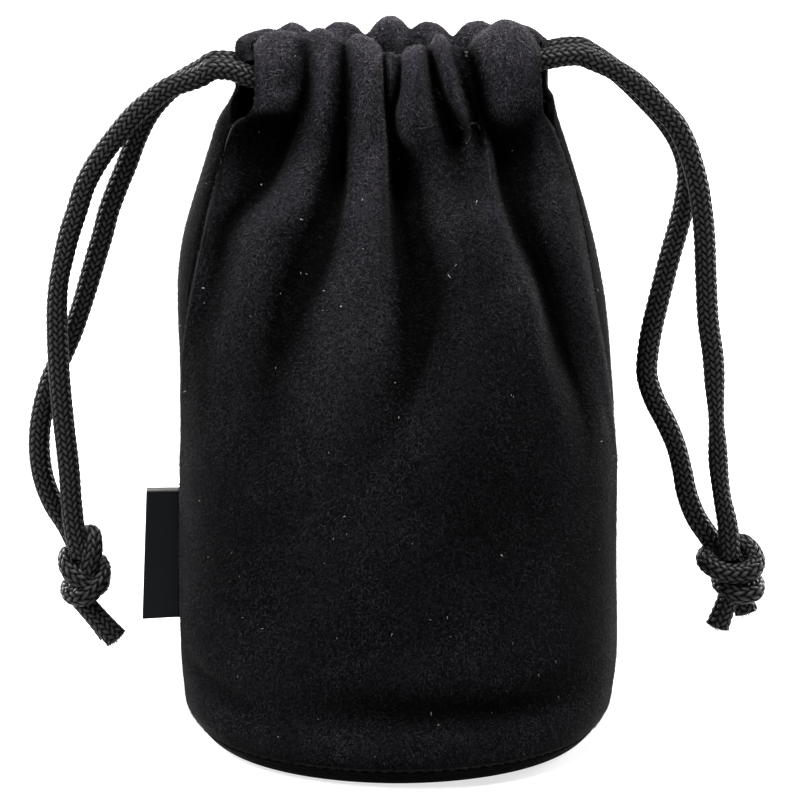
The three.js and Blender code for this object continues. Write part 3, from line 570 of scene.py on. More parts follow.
def fold_lines(face, z):
    """The angle in degrees and the inset of each fold line at each height, with the wall's two edges first
    and last. A line's angle is the arc sine of its x, moved out by what the inset will take off it."""
    lines = [np.array(line, float) for line in (FRONT_LINES if face < 0 else back_lines())]
    held = np.maximum(z, SHOULDER_Z)
    wide, deep = half_width(held), half_depth(held)
    x = np.stack([through(held, line[:, 0], line[:, 1]) for line in lines])
    inset = np.stack([through(held, line[:, 0], line[:, 2]) for line in lines])
    turn = np.arcsin(np.clip(x / wide, -FURTHEST_SINE, FURTHEST_SINE))
    out_x = np.sin(turn) / wide / np.hypot(np.sin(turn) / wide, np.cos(turn) / deep)
    angle = np.degrees(np.arcsin(np.clip((x + inset * out_x) / wide, -FURTHEST_SINE, FURTHEST_SINE)))
    low, high = seam_angles(face, z)
    edge = SEAM_GROOVE + (HEM_END_ROLL[face] - SEAM_GROOVE) * eased(z, *HEM_ROLL_STARTS)
    return np.concatenate([low[None], angle, high[None]]), np.concatenate([edge[None], inset, edge[None]])


def across_lines(values, column):
    """A smooth curve over the fold lines, by their number: a cubic from each to the next, with the slope at
    each of the chord between its neighbours."""
    first = np.clip(np.floor(column).astype(int), 0, len(values) - 2)
    t = column - first
    slopes = np.gradient(values, axis=0)
    start, end = (np.take_along_axis(values, (first + k)[None], 0)[0] for k in (0, 1))
    leave, reach = (np.take_along_axis(slopes, (first + k)[None], 0)[0] for k in (0, 1))
    start = (1 + 2 * t) * (1 - t) ** 2 * start + t * (1 - t) ** 2 * leave
    return start + t * t * (3 - 2 * t) * end + t * t * (t - 1) * reach


def body_waves(face, angle, z):
    """The soft unevenness of a full pouch: slow waves, as products of sines of the angle and the height, that
    fade towards the base, the neck and the sides; a hollow band above the base where the seam allowance ends;
    the rolled edge below it; and a slack crease that slopes down into the hollow on the left."""
    slow = SLOW_WAVE * np.sin(np.radians(angle * 3.1 + 40 * face) + z / 17)
    slow = slow * np.sin(z / 12 + 1.1 + 0.4 * face)
    slow = slow + CROSS_WAVE * np.sin(np.radians(angle * 5.7) - z / 9 + face)
    fade = eased(z, *WAVES_START) * (1 - eased(z, *WAVES_END)) * (0.3 + 0.7 * np.cos(np.radians(angle)) ** 2)
    hollow = HOLLOW_DEPTH * bell((z - HOLLOW_Z) / HOLLOW_HALF_HEIGHT)
    hollow = hollow * bell((angle - HOLLOW_ANGLE[face]) / HOLLOW_HALF_ANGLE)
    roll = ROLL_HEIGHT * bell((z - ROLL_Z) / ROLL_HALF_HEIGHT)
    crease = bell((z - CREASE_Z + CREASE_SLOPE * (angle - CREASE_ANGLE)) / CREASE_HALF_HEIGHT)
    crease = crease * eased(angle, *CREASE_STARTS) * (1 - eased(angle, *CREASE_ENDS))
    return slow * fade + hollow - roll + CREASE_DEPTH * crease


def wall_place(face, share, z):
    """A point on the outside of a wall, by its share of the way across and its height. In plan an oval that
    turns, up the neck, into the line of the hem; the inset of the folds then moves it in, square to the oval.
    The sides of the shoulder lean by the fourth power of the sine."""
    angles, insets = fold_lines(face, z)
    column = share * (len(angles) - 1)
    angle, inset = across_lines(angles, column), across_lines(insets, column)
    turn = np.radians(angle)
    wide, deep = half_width(z), half_depth(z)
    lean = SHOULDER_LEAN * eased(z, *LEAN_STARTS) * (1 - eased(z, *LEAN_ENDS))
    x = wide * np.sin(turn) + lean * np.sin(turn) ** 4
    y = deep * np.cos(turn)
    gathered = eased(z, PLEAT_START_Z, HEM_BOTTOM) * eased(np.cos(turn), 0, PLEAT_SIDE)
    y = y + (hem_middle(x) + hem_reach(x) - y) * gathered
    inset = inset + body_waves(face, angle, z)
    length = np.hypot(np.sin(turn) / wide, np.cos(turn) / deep)
    return x - inset * np.sin(turn) / wide / length, y - inset * np.cos(turn) / deep / length


def inner_gathers(face, x):
    """The gathers on the mouth side of a hem, as uneven waves about 7 mm apart: a sine of x whose phase a
    longer sine shifts."""
    return INNER_GATHER * (1 + np.sin(2 * np.pi * x / INNER_GATHER_SPACING + 1.4 * np.sin(x / 5.3 + face)))


def wall_heights():
    """The heights of a wall's rows: even steps of angle up the foot's curve, then even steps of height."""
    start = np.arccos(1 - WALL_FOOT_Z / FOOT_CURVE)
    foot = FOOT_CURVE * (1 - np.cos(np.linspace(start, np.pi / 2, WALL_ROWS["foot"])))
    body = np.linspace(FOOT_CURVE, SHOULDER_Z, WALL_ROWS["body"])
    shoulder = np.linspace(SHOULDER_Z, HEM_BOTTOM, WALL_ROWS["shoulder"])
    return np.concatenate([foot[:-1], body[:-1], shoulder[:-1],
                           np.linspace(HEM_BOTTOM, HEM_WALL_TOP, WALL_ROWS["hem"])])


def wall_points(face):
    """A whole wall from the base seam up, over the hem's top and down inside it. Below, each row is one
    height; over the top the section is half a squared oval from the outer side of the hem to its inner side.
    Each row is then smoothed once, by weights of one, two and one."""
    u = np.linspace(0, 1, WALL_COLUMNS)[None, :]
    z = wall_heights()[:, None] + 0 * u
    x, y = wall_place(face, u + 0 * z, z)
    wall = np.stack([x, y, z], -1)
    over = np.linspace(0, np.pi, WALL_ROWS["top"])[1:, None]
    reached = HEM_WALL_TOP + (HEM_TOP - HEM_WALL_TOP) * np.sin(np.minimum(over, np.pi / 2)) + 0 * u
    x, y = wall_place(face, u + 0 * reached, reached)
    middle = hem_middle(x)
    inner = HEM_INSIDE + inner_gathers(face, x)
    outer = y - middle
    valley = np.clip(hem_reach(x) - outer - VALLEY_TOP_START, 0, VALLEY_TOP_DEEPEST)
    edge = np.array(HEM_EDGE[face], float)
    top = through(x, edge[:, 0], edge[:, 1]) - VALLEY_TOP_DROP * valley
    c, s = np.cos(over), np.sin(over)
    across = (outer - inner) / 2 + (outer + inner) / 2 * np.sign(c) * np.abs(c) ** HEM_SQUARENESS
    height = HEM_WALL_TOP + (top - HEM_WALL_TOP) * np.abs(s) ** HEM_SQUARENESS
    open_end = eased(np.abs(x), *END_POCKET)
    tuck = np.maximum(height, top - END_TUCK)
    height = np.where(over > np.pi / 2, height + (tuck - height) * open_end, height)
    hem_top = np.stack([x, middle + across, height], -1)
    down = np.linspace(0, 1, WALL_ROWS["inside"])[1:, None]
    inside_x, inside_y, inside_z = hem_top[-1].T
    end_z = inside_z + (HEM_INSIDE_BOTTOM - inside_z) * (1 - open_end[-1])
    inside = np.stack([inside_x + 0 * down, inside_y + 0 * down, inside_z + (end_z - inside_z) * down], -1)
    points = np.concatenate([wall, hem_top, inside])
    points[:, 1:-1] = (points[:, :-2] + 2 * points[:, 1:-1] + points[:, 2:]) / 4
    points[..., 1] *= face
    return points if face < 0 else points[:, ::-1]


def painted_nap_light(grid):
    """How much paler or darker the nap is painted: above 0 on a crest and all over the hem, a painted
    highlight, and below 0 in a fold, a painted shade. Each point is set against the mean of its
    neighbours on the grid, taken twice, and the difference, square to the cloth, is taken as a share of
    CREST_HEIGHT."""
    mean = grid
    for axis, reach in ((0, CREST_ROWS), (1, CREST_COLUMNS)) * 2:
        ends = [(0, 0)] * 3
        ends[axis] = (reach + 1, reach)
        total = np.cumsum(np.pad(mean, ends, mode="edge"), axis=axis)
        span = 2 * reach + 1
        far, near = (np.take(total, np.arange(grid.shape[axis]) + k, axis=axis) for k in (span, 0))
        mean = (far - near) / span
    normal = unit(np.cross(np.gradient(mean, axis=1), np.gradient(mean, axis=0)))
    stands = np.sum((grid - mean) * normal, axis=-1)
    crest = np.clip((stands - np.median(stands)) / CREST_HEIGHT, -1, 1)
    # A painted highlight over the hem that grows towards its top, added to the painted highlight on crests
    # and the painted shade in folds.
    painted_hem_highlight = 1 + HEM_PALER * eased(grid[..., 2], *HEM_PALER_STARTS)
    return (1 + crest * np.where(crest > 0, CREST_PALER, FOLD_DARKER)) * painted_hem_highlight - 1


def nap_material():
    """The raised fibres of the suede: fine black and dark grey polyester, matt, each a little lighter or
    darker, with a few pale bits of lint among them, which have the highest shade."""
    made, tree = new_material("black_suede_nap")
    shade = node(tree, "Attribute", attribute_name="shade").outputs["Fac"]
    fibre = node(tree, "MixRGB", {"Fac": shade, "Color1": linear("#060607"), "Color2": linear("#4c4a4f")})
    lint = node(tree, "Math", {0: shade, 1: 0.97}, operation="GREATER_THAN")
    colour = node(tree, "MixRGB", {"Fac": lint, "Color1": fibre, "Color2": linear("#85807a")})
    shader = node(tree, "BsdfPrincipled", {
        "Base Color": colour, "Roughness": 0.9, "Specular IOR Level": 0.04})
    node(tree, "OutputMaterial", {"Surface": shader})
    return made


def fibres(name, foot, side, tip, lit, shade, material):
    """A mesh of single thin triangles, each with its foot, half its width, its tip, the way it takes the
    light and a number for its shade."""
    count = len(foot)
    points = np.stack([foot - side, foot + side, tip], 1)
    mesh = bpy.data.meshes.new(name)
    triangles = np.arange(3 * count).reshape(-1, 3)
    mesh.from_pydata((points.reshape(-1, 3) * MM).tolist(), [], triangles.tolist())
    attribute = mesh.attributes.new("shade", "FLOAT", "POINT")
    attribute.data.foreach_set("value", np.repeat(shade, 3).astype(np.float32))
    mesh.polygons.foreach_set("use_smooth", np.ones(count, dtype=bool))
    mesh.normals_split_custom_set_from_vertices(np.repeat(unit(lit), 3, axis=0).tolist())
    return add_piece(name, mesh, material)


def nap(name, grid, painted_light, count, seed):
    """Short fibres strewn evenly by area over a grid of points. Each is one thin triangle that leaves the
    cloth on a slant, mostly brushed downwards, and takes the light as the cloth under it does, give or take a
    scatter and the strokes of the hand: sines of the place turn the nap one way or another and make it a
    little paler or darker. It is painted paler on the crests and the hem, a painted highlight, and darker in
    the folds, a painted shade."""
    random = np.random.default_rng(seed)
    a, b, c, d = cell_corners(grid)
    normal = np.cross(c - a, d - b).reshape(-1, 3)
    area = np.linalg.norm(normal, axis=1)
    cell = random.choice(len(area), count, p=area / area.sum())
    u, v = random.random((2, count, 1))
    a, b, c, d = (corner.reshape(-1, 3)[cell] for corner in (a, b, c, d))
    foot = (a * (1 - u) + b * u) * (1 - v) + (d * (1 - u) + c * u) * v
    up = normal[cell] / area[cell, None]
    lean = random.normal(size=(count, 3)) * NAP_SPREAD + [0, 0, -NAP_DOWN]
    lean -= np.sum(lean * up, axis=1, keepdims=True) * up
    lint = random.random((count, 1)) < LINT_SHARE
    length = NAP_LENGTH * random.uniform(*NAP_LENGTH_SHARES, (count, 1))
    length = length * np.where(lint, LINT_LENGTH_SHARE, 1)
    side = np.cross(lean, up)
    half_wide = NAP_WIDTH / 2 * np.where(lint, LINT_WIDTH_SHARE, 1)
    side *= half_wide / np.maximum(np.linalg.norm(side, axis=1, keepdims=True), 1e-6)
    tip = foot + (up * NAP_RISE + lean) * length
    foot = foot - NAP_ROOT * up
    x, y, z = foot.T
    patch = np.sin(x / 7.3 + z / 13 + seed) * np.sin(z / 9.1 - x / 11 + y / 15)
    patch = patch + np.sin(x / 3.1 - z / 4.3 + 2 * np.sin(z / 6))
    # The painted light makes the fibres paler on crests and the hem, a painted highlight, and darker in
    # folds, a painted shade.
    paler = (PATCH_SHADE + PATCH_CONTRAST * patch) * (1 + painted_light[:-1, :-1].ravel()[cell])
    shade = np.minimum((NAP_DARKEST + NAP_SHADES * random.random(count)) * paler, NAP_PALEST)
    shade = np.where(lint[:, 0], 1.0, shade)
    stroke = STROKE_TURN * np.sin(x / 8.7 - z / 10.3 + seed) + STROKE_TURN * np.sin(x / 5.1 + z / 7.7)
    brushed = np.stack([np.sin(stroke), 0 * stroke, -np.cos(stroke)], 1)
    lit = up + NAP_BRUSHED * brushed + NAP_SCATTER * random.normal(size=(count, 3))
    made = fibres(name, foot, side, tip, lit, shade, nap_fibre)
    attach(made, "pouch")
    return made


nap_fibre = nap_material()
for name, face in (("front", -1), ("back", 1)):
    grid = wall_points(face)
    painted_light = painted_nap_light(grid)
    wall = surface(name + "_wall", grid, suede, values={"painted_light": painted_light})
    fuzz = nap(name + "_nap", grid, painted_light, NAP_COUNT, NAP_SEED[face])
    thick = wall.modifiers.new("cloth_thickness", "SOLIDIFY")
    thick.thickness = CLOTH * MM
    thick.offset = -1
    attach(wall, "pouch")
    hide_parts(name + "_panel", name + "_hem")


# Seam threads. Black polyester sewing thread holds the walls together down both sides, the base to the walls
# and each hem to its wall. Each line is a row of lock stitches that rise out of the cloth and dip back in.
THREAD = 0.5
THREAD_SIDES = 8
THREAD_TWIST = 0.9
THREAD_RELIEF = 0.05
STITCH = 2.7
STITCH_STEPS = 9
STITCH_LIFT = 0.22
STITCH_SINK = 0.38
BASE_STITCH_Z = 3.75
BASE_STITCH_INSET = 0.25
BASE_STITCH_TILT = 0.35
SIDE_STITCHING = (5.4, 127.5)
# The height of the hem's stitching: x and height. At the front it climbs on the smooth flap at the right end.
HEM_STITCHING = {
    -1: [(-29, 132.6), (-20, 131), (0, 130.6), (14, 129.4), (19.5, 128.2), (24, 131.4), (29.5, 135.4)],
    1: [(-32, 131.6), (0, 130.8), (29, 131.4)]}
HEM_STITCH_SHARES = (0.035, 0.965)
HEM_STITCH_Z = 131.0


def thread_material():
    """Spun polyester sewing thread, black: two plies twisted together, with a slight gloss along each ply."""
    made, tree = new_material("black_polyester_thread")
    uv = node(tree, "UVMap", uv_map="surface")
    way = node(tree, "SeparateXYZ", {"Vector": uv})
    wound = node(tree, "Math", {0: way.outputs["X"], 1: way.outputs["Y"]}, operation="ADD")
    ply = node(tree, "Math", {0: wound}, operation="SINE")
    shade = node(tree, "MapRange", {"Value": ply, "From Min": -1.0, "From Max": 1.0})
    # The colour follows the ply sine: darker between the plies, a painted shade, and paler on them, a painted
    # highlight.
    colour = node(tree, "MixRGB", {"Fac": shade, "Color1": linear("#010101"), "Color2": linear("#070708")})
    relief = node(tree, "Bump", {"Height": ply, "Strength": 0.5, "Distance": THREAD_RELIEF * MM})
    shader = node(tree, "BsdfPrincipled", {
        "Base Color": colour, "Normal": relief, "Roughness": 0.7, "Specular IOR Level": 0.1})
    node(tree, "OutputMaterial", {"Surface": shader})
    return made


def lengths_along(points):
    """The length of a line of points up to each of them, as the sum of its steps."""
    return np.concatenate([[0], np.cumsum(np.linalg.norm(np.diff(points, axis=0), axis=1))])


def even_steps(points, step):
    """A line of close points cut again into equal steps along its length, and the length at each."""
    along = lengths_along(points)
    even = np.linspace(0, along[-1], int(along[-1] / step) + 1)
    return np.stack([np.interp(even, along, points[:, k]) for k in range(3)], 1), even


def stitches(name, line, outwards):
    """A row of stitches along a line: a thin tube lifted outwards by a cosine of the length, once in each
    stitch, and sunk so that its low half lies in the cloth."""
    path, along = even_steps(line, STITCH / STITCH_STEPS)
    rows = np.linspace(0, 1, len(path))
    given = np.linspace(0, 1, len(outwards))
    out = np.stack([np.interp(rows, given, outwards[:, k]) for k in range(3)], 1)
    ahead = unit(np.gradient(path, axis=0))
    out = unit(out - np.sum(out * ahead, axis=1, keepdims=True) * ahead)
    side = np.cross(ahead, out)
    path = path + out * (STITCH_LIFT * np.cos(2 * np.pi * along / STITCH) - STITCH_SINK)[:, None]
    angle = np.linspace(0, 2 * np.pi, THREAD_SIDES + 1)
    ring = np.cos(angle)[None, :-1, None] * out[:, None] + np.sin(angle)[None, :-1, None] * side[:, None]
    uv = np.stack(np.broadcast_arrays(2 * angle[None, :], 2 * np.pi * along[:, None] / THREAD_TWIST), -1)
    made = surface(name + "_stitches", path[:, None] + THREAD / 2 * ring, thread, closed=True, uv=uv)
    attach(made, "pouch")
    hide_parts(name + "_thread")


thread = thread_material()
round_angle = np.linspace(0, 2 * np.pi, 361)
round_way = np.stack([np.cos(round_angle), np.sin(round_angle), 0 * round_angle], 1)
round_line = round_way * (foot_radius(BASE_STITCH_Z) - BASE_STITCH_INSET)
stitches("base_seam", round_line + [0, 0, BASE_STITCH_Z], round_way - [0, 0, BASE_STITCH_TILT])
seam_z = np.linspace(*SIDE_STITCHING, 240)
for name, share in (("left", 0.0), ("right", 1.0)):
    (front_x, front_y), (back_x, back_y) = (wall_place(face, share + 0 * seam_z, seam_z) for face in (-1, 1))
    seam = np.stack([front_x + back_x, back_y - front_y], 1) / 2
    stitches(name + "_seam", np.column_stack([seam, seam_z]), np.column_stack([unit(seam), 0 * seam_z]))
for name, face in (("front", -1), ("back", 1)):
    share = np.linspace(*HEM_STITCH_SHARES, 500)
    stops = np.array(HEM_STITCHING[face], float)
    x, y = wall_place(face, share, 0 * share + HEM_STITCH_Z)
    z = through(x, stops[:, 0], stops[:, 1])
    places = []
    # A short step across the cloth and one up it give the way that the cloth faces.
    for step_share, step_z in ((0, 0), (0.001, 0), (0, 0.1)):
        x, y = wall_place(face, share + step_share, z + step_z)
        places.append(np.stack([x, face * y, z + step_z], 1))
    normal = -face * np.cross(places[1] - places[0], places[2] - places[0])
    stitches(name + "_hem", places[0], unit(normal))


# Label. A length of woven satin ribbon, folded in half, with both ends sewn into the left side seam.
# Its top edge is cut with a hot knife, which leaves it pale and a little rough.
LABEL_FOOT_Z = 25.0
LABEL_HEIGHT = 27.0
LABEL_ROOT_X = -44.2
LABEL_EDGE_X = -51.9
LABEL_TOP_PULL = 1.0
LABEL_TAPE = 0.34
LABEL_LAYERS_APART = 0.3
LABEL_CURL = 0.7
LABEL_CURL_TURNS = 0.45
LABEL_DROOP = 0.5
LABEL_PALE_EDGE = 0.7
# The ribs of the weave, drawn a little further apart than real ones so that they show.
RIBBON_PICK = 0.3
RIBBON_RELIEF = 0.05


def satin_material():
    """Woven polyester satin ribbon, blue-black: fine ribs across it catch the light, and its top edge is
    pale."""
    made, tree = new_material("blue_black_satin_ribbon")
    uv = node(tree, "UVMap", uv_map="surface")
    way = node(tree, "SeparateXYZ", {"Vector": uv})
    slant = node(tree, "Math", {0: way.outputs["X"], 1: 0.5}, operation="MULTIPLY")
    lines = node(tree, "Math", {0: way.outputs["Y"], 1: slant}, operation="ADD")
    turns = node(tree, "Math", {0: lines, 1: 2 * np.pi / RIBBON_PICK}, operation="MULTIPLY")
    ribs = node(tree, "Math", {0: turns}, operation="SINE")
    shade = node(tree, "MapRange", {"Value": ribs, "From Min": -1.0, "From Max": 1.0})
    # The cloth's colour follows the ribs: paler on their crests, a painted highlight, and darker between
    # them, a painted shade.
    cloth = node(tree, "MixRGB", {"Fac": shade, "Color1": linear("#010102"), "Color2": linear("#040609")})
    specks = node(tree, "TexNoise", {"Vector": uv, "Scale": 5.0, "Detail": 2.0})
    edge = node(tree, "MapRange", {"Value": way.outputs["Y"], "From Min": LABEL_HEIGHT - LABEL_PALE_EDGE,
                                   "From Max": LABEL_HEIGHT})
    brightness = node(tree, "Math", {0: edge, 1: specks}, operation="MULTIPLY")
    colour = node(tree, "MixRGB", {"Fac": brightness, "Color1": cloth, "Color2": linear("#b4b2b0")})
    relief = node(tree, "Bump", {"Height": ribs, "Strength": 0.4, "Distance": RIBBON_RELIEF * MM})
    shader = node(tree, "BsdfPrincipled", {
        "Base Color": colour, "Normal": relief, "Roughness": 0.5, "Specular IOR Level": 0.07})
    node(tree, "OutputMaterial", {"Surface": shader})
    return made


def label_points():
    """The folded ribbon: in plan out along the front layer, half a circle at the fold, and back along the
    other layer, then the same on its inner side. The fold leans in towards the top, and the lower corner
    curls as the square of the way out and droops."""
    layer = np.linspace(0, 1, 14)
    bend = np.linspace(np.pi / 2, 3 * np.pi / 2, 11)[1:-1]
    rows = np.linspace(0, 1, 40)[:, None]
    inner_half = LABEL_LAYERS_APART / 2
    outer_half = inner_half + LABEL_TAPE
    fold_x = LABEL_EDGE_X + inner_half + LABEL_TAPE
    straight = LABEL_ROOT_X + (fold_x - LABEL_ROOT_X) * layer
    rings = []
    for half in (outer_half, inner_half):
        x = np.concatenate([straight, fold_x + half * np.cos(bend), straight[::-1]])
        y = np.concatenate([0 * layer - half, -half * np.sin(bend), 0 * layer + half])
        rings.append(np.stack([x, y], 1))
    ring = np.concatenate([rings[0], rings[1][::-1]])
    out = (ring[None, :, 0] - LABEL_ROOT_X) / (LABEL_EDGE_X - LABEL_ROOT_X)
    x = ring[None, :, 0] + LABEL_TOP_PULL * rows * out
    y = ring[None, :, 1] + LABEL_CURL * out ** 2 * (LABEL_CURL_TURNS - rows)
    z = LABEL_FOOT_Z + LABEL_HEIGHT * rows - LABEL_DROOP * out ** 2 * (1 - rows) ** 4
    along = lengths_along(np.vstack([ring, ring[:1]]))
    uv = np.stack(np.broadcast_arrays(along[None, :], LABEL_HEIGHT * rows), -1)
    return np.stack([x, y, z], -1), uv


ribbon_points, ribbon_uv = label_points()
ribbon = surface("satin_label", ribbon_points, satin_material(), closed=True, uv=ribbon_uv)
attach(ribbon, "label")
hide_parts("side_label")


# Cords. Two black braided polyester cords, 4.5 mm thick, each threaded through both hems. Twenty-four yarns
# cross over and under one another round a soft core, and the two free ends of a cord hang together.
CORD = 4.5
CORD_SIDES = 72
HIDDEN_CORD_SIDES = 48
YARNS_EACH_WAY = 12
YARN_WIDTH = 1.02
YARN_RISE = 0.2
YARN_HALF_THICKNESS = 0.36
BRAID_PITCH = 1.5
# Ridges across a yarn. Its real filaments are more and finer: these are drawn coarse enough to show.
FILAMENTS = 5
FILAMENT_RELIEF = 0.04
RING_STEP = BRAID_PITCH / 7
SIDE = {"left": -1, "right": 1}
UPWARDS = np.array([0.0, 0.0, 1.0])
ACROSS = np.array([0.0, 1.0, 0.0])
LANE_END_X = 22.0
LOOP_TURN_X = 22.3
STUB_START = 20.0
STUB_RISE_X = 28.0
SPLIT_X = 34.6
LEVEL_END = 0.8
CLEARANCE = 0.3
DRAW_TOGETHER = 14.0
HANGING_Y = 2.55
FAR_LANE_Z = {"left": 135.45, "right": 141.6}
EXIT_Z = {"left": 137.6, "right": 141.35}
SPLIT_Z = {"left": 139.4, "right": 142.25}

# Free cord routes: distance outwards and drop, both from where the cord has cleared the hem.
ROUTES = {
    "left_front": [
        (5, 1.6), (11.8, 4.4), (15, 6.8), (18, 9.4), (22, 14.2), (25.6, 19.2), (28.2, 24.1), (29.8, 29.1),
        (31.4, 34), (32.6, 39), (33.6, 44), (34, 49), (34, 54), (33.6, 64), (32.8, 73.6), (31.8, 83.5),
        (31.4, 90), (30.8, 95.5)],
    "left_back": [
        (5, 1.7), (11, 5.4), (15.4, 10.4), (18, 15.6), (19.8, 20.6), (21.8, 25.5), (23.6, 30.5), (24.9, 35.5),
        (26.4, 40.5), (27.8, 45.4), (29.3, 50.4), (31, 55.3), (33.2, 60.3), (35.4, 65.2), (37.4, 72.6),
        (38, 80), (37.2, 86), (35.2, 91.4), (32.4, 96)],
    "right_front": [
        (3.8, 0.8), (9, 3.3), (14, 6.9), (18, 11), (21, 14.4), (22.9, 18), (24.4, 22.3), (25.6, 27),
        (26.4, 32), (26.9, 37), (27.3, 46), (27.9, 55.8), (28.8, 62), (29.3, 70), (29.8, 79), (30.2, 86),
        (31, 92), (32, 97)],
    "right_back": [
        (3.8, 1), (9.6, 5), (15.2, 10.4), (19, 14.6), (22, 19.4), (23.6, 25), (23, 31.6), (21.6, 37.4),
        (20.2, 42.5), (19, 47.4), (17.8, 52.4), (16.7, 57.3), (15.9, 62.3), (15.7, 67.4), (17.2, 72.4),
        (19.6, 77.2), (21.6, 82), (22.9, 87), (23.9, 92), (25.8, 97), (28.4, 101)],
}
# Where a cord has been pressed flat and shows its narrow side: height and the share of its width lost there.
FLATTENED = {"right_front": [(67, 0.26), (52, 0.16)], "left_front": [(96, 0.08)], "left_back": [(88, 0.06)],
             "right_back": [(58, 0.06)]}
FLATTENED_HALF_LENGTH = 6.0
KNOT_CENTRE = {"left": np.array([-63.6, 0, 35.9]), "right": np.array([67.4, 0, 34.85])}
INTO_KNOT = 0.7


def braid_material():
    """Braided polyester cord, dyed black: each yarn is a flat bundle of fine glossy filaments. The colour
    darkens and the shine fades as the yarn's height falls, so the gaps between the yarns are painted dark, a
    painted shade."""
    made, tree = new_material("black_polyester_braid")
    uv = node(tree, "UVMap", uv_map="surface")
    way = node(tree, "SeparateXYZ", {"Vector": uv})
    over = node(tree, "Attribute", attribute_name="over").outputs["Fac"]
    first = node(tree, "Math", {0: way.outputs["X"], 1: 2 * np.pi * FILAMENTS}, operation="MULTIPLY")
    second = node(tree, "Math", {0: way.outputs["Y"], 1: 2 * np.pi * FILAMENTS}, operation="MULTIPLY")
    ridge_a = node(tree, "Math", {0: first}, operation="SINE")
    ridge_b = node(tree, "Math", {0: second}, operation="SINE")
    ridges = node(tree, "MixRGB", {"Fac": over, "Color1": ridge_b, "Color2": ridge_a})
    height = node(tree, "Attribute", attribute_name="height").outputs["Fac"]
    # Darker towards the low parts of the yarns: a painted shade in the gaps between them.
    colour = node(tree, "MixRGB", {"Fac": height, "Color1": linear("#000000"), "Color2": linear("#131314")})
    shine = node(tree, "MapRange", {"Value": height, "From Min": 0.35, "To Min": 0.0, "To Max": 0.23})
    relief = node(tree, "Bump", {"Height": ridges, "Strength": 0.3, "Distance": FILAMENT_RELIEF * MM})
    shader = node(tree, "BsdfPrincipled", {
        "Base Color": colour, "Normal": relief, "Roughness": 0.46, "IOR": 1.5, "Specular IOR Level": shine})
    node(tree, "OutputMaterial", {"Surface": shader})
    return made


def evenly(points, step):
    """A smooth line through points, then cut into equal steps along its length."""
    points = np.asarray(points, float)
    chord = lengths_along(points)
    fine = np.linspace(0, chord[-1], 40 * len(points))
    line = np.stack([through(fine, chord, points[:, k]) for k in range(3)], 1)
    return even_steps(line, step)[0]


def yarn_top(off_middle, crossing):
    """The height of a yarn's surface: a half oval across it, riding on a cosine wave along it, up where it
    crosses over two yarns and down where it goes under two."""
    rise = YARN_RISE * np.cos(np.pi / 2 * (crossing - 0.5))
    return rise + YARN_HALF_THICKNESS * np.sqrt(np.clip(1 - (2 * off_middle / YARN_WIDTH) ** 2, 0, 1))


def braid_tube(name, path, towards, wide=1.0, sides=CORD_SIDES):
    """A braided tube along a path of even steps. Two sets of yarns wind round it in opposite ways, half a
    wave apart, and the surface is the higher of the nearest yarn of each. towards is a direction off the path
    that starts the turn round it, and wide is the tube's share of its full width across that direction."""
    step = np.linalg.norm(path[1] - path[0])
    ahead = unit(np.gradient(path, axis=0))
    off = unit(towards - np.sum(towards * ahead, axis=1, keepdims=True) * ahead)
    side = np.cross(ahead, off)
    angle = np.linspace(0, 2 * np.pi, sides + 1)[None, :]
    lap = YARNS_EACH_WAY * angle / (2 * np.pi)
    run = (np.arange(len(path)) * step / BRAID_PITCH)[:, None]
    a, b = lap + run, lap - run
    i, j = np.round(a), np.round(b)
    top_a = yarn_top(a - i, i + b)
    top_b = yarn_top(b - j, a + j + 2)
    top = np.maximum(top_a, top_b)
    crown = YARN_RISE + YARN_HALF_THICKNESS
    radius = (CORD / 2 - crown + top)[:, :-1, None]
    turn_x, turn_y = np.cos(angle)[:, :-1, None], np.sin(angle)[:, :-1, None]
    wide = np.asarray(wide, float).reshape(-1, 1, 1)
    points = path[:, None] + radius * (turn_x * off[:, None] / np.sqrt(wide) + turn_y * wide * side[:, None])
    values = {"over": (top_a > top_b)[:, :-1], "height": np.clip(top / crown, 0, 1)[:, :-1] ** 2}
    return surface(name, points, braid, closed=True, uv=np.stack([a, b], -1), values=values)


def hem_lane(name, x):
    """The height of a cord inside the hems, eased from where it turns at the far end to where it comes out.
    The right cord lies over the left one."""
    left_z, right_z = (FAR_LANE_Z[name], EXIT_Z[name])[::SIDE[name]]
    return left_z + (right_z - left_z) * eased(x, -LANE_END_X, LANE_END_X)


braid = braid_material()
for name, side in SIDE.items():
    leg_x = side * np.linspace(STUB_START - CLEARANCE, -LANE_END_X, 17)
    leg = np.stack([leg_x, -hem_middle(leg_x), hem_lane(name, leg_x)], 1)
    bend = np.linspace(0, np.pi, 7)
    bend_x = -side * (LOOP_TURN_X + CORD_MIDDLE_Y * np.sin(bend))
    turn = np.stack([bend_x, -CORD_MIDDLE_Y * np.cos(bend), hem_lane(name, bend_x)], 1)
    path = evenly(np.concatenate([leg, turn, (leg * [1, -1, 1])[::-1]]), 2 * RING_STEP)
    run = braid_tube(name + "_hem_cord", path, UPWARDS + 0 * path, sides=HIDDEN_CORD_SIDES)
    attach(run, "pouch")
    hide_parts(name + "_cord_run")

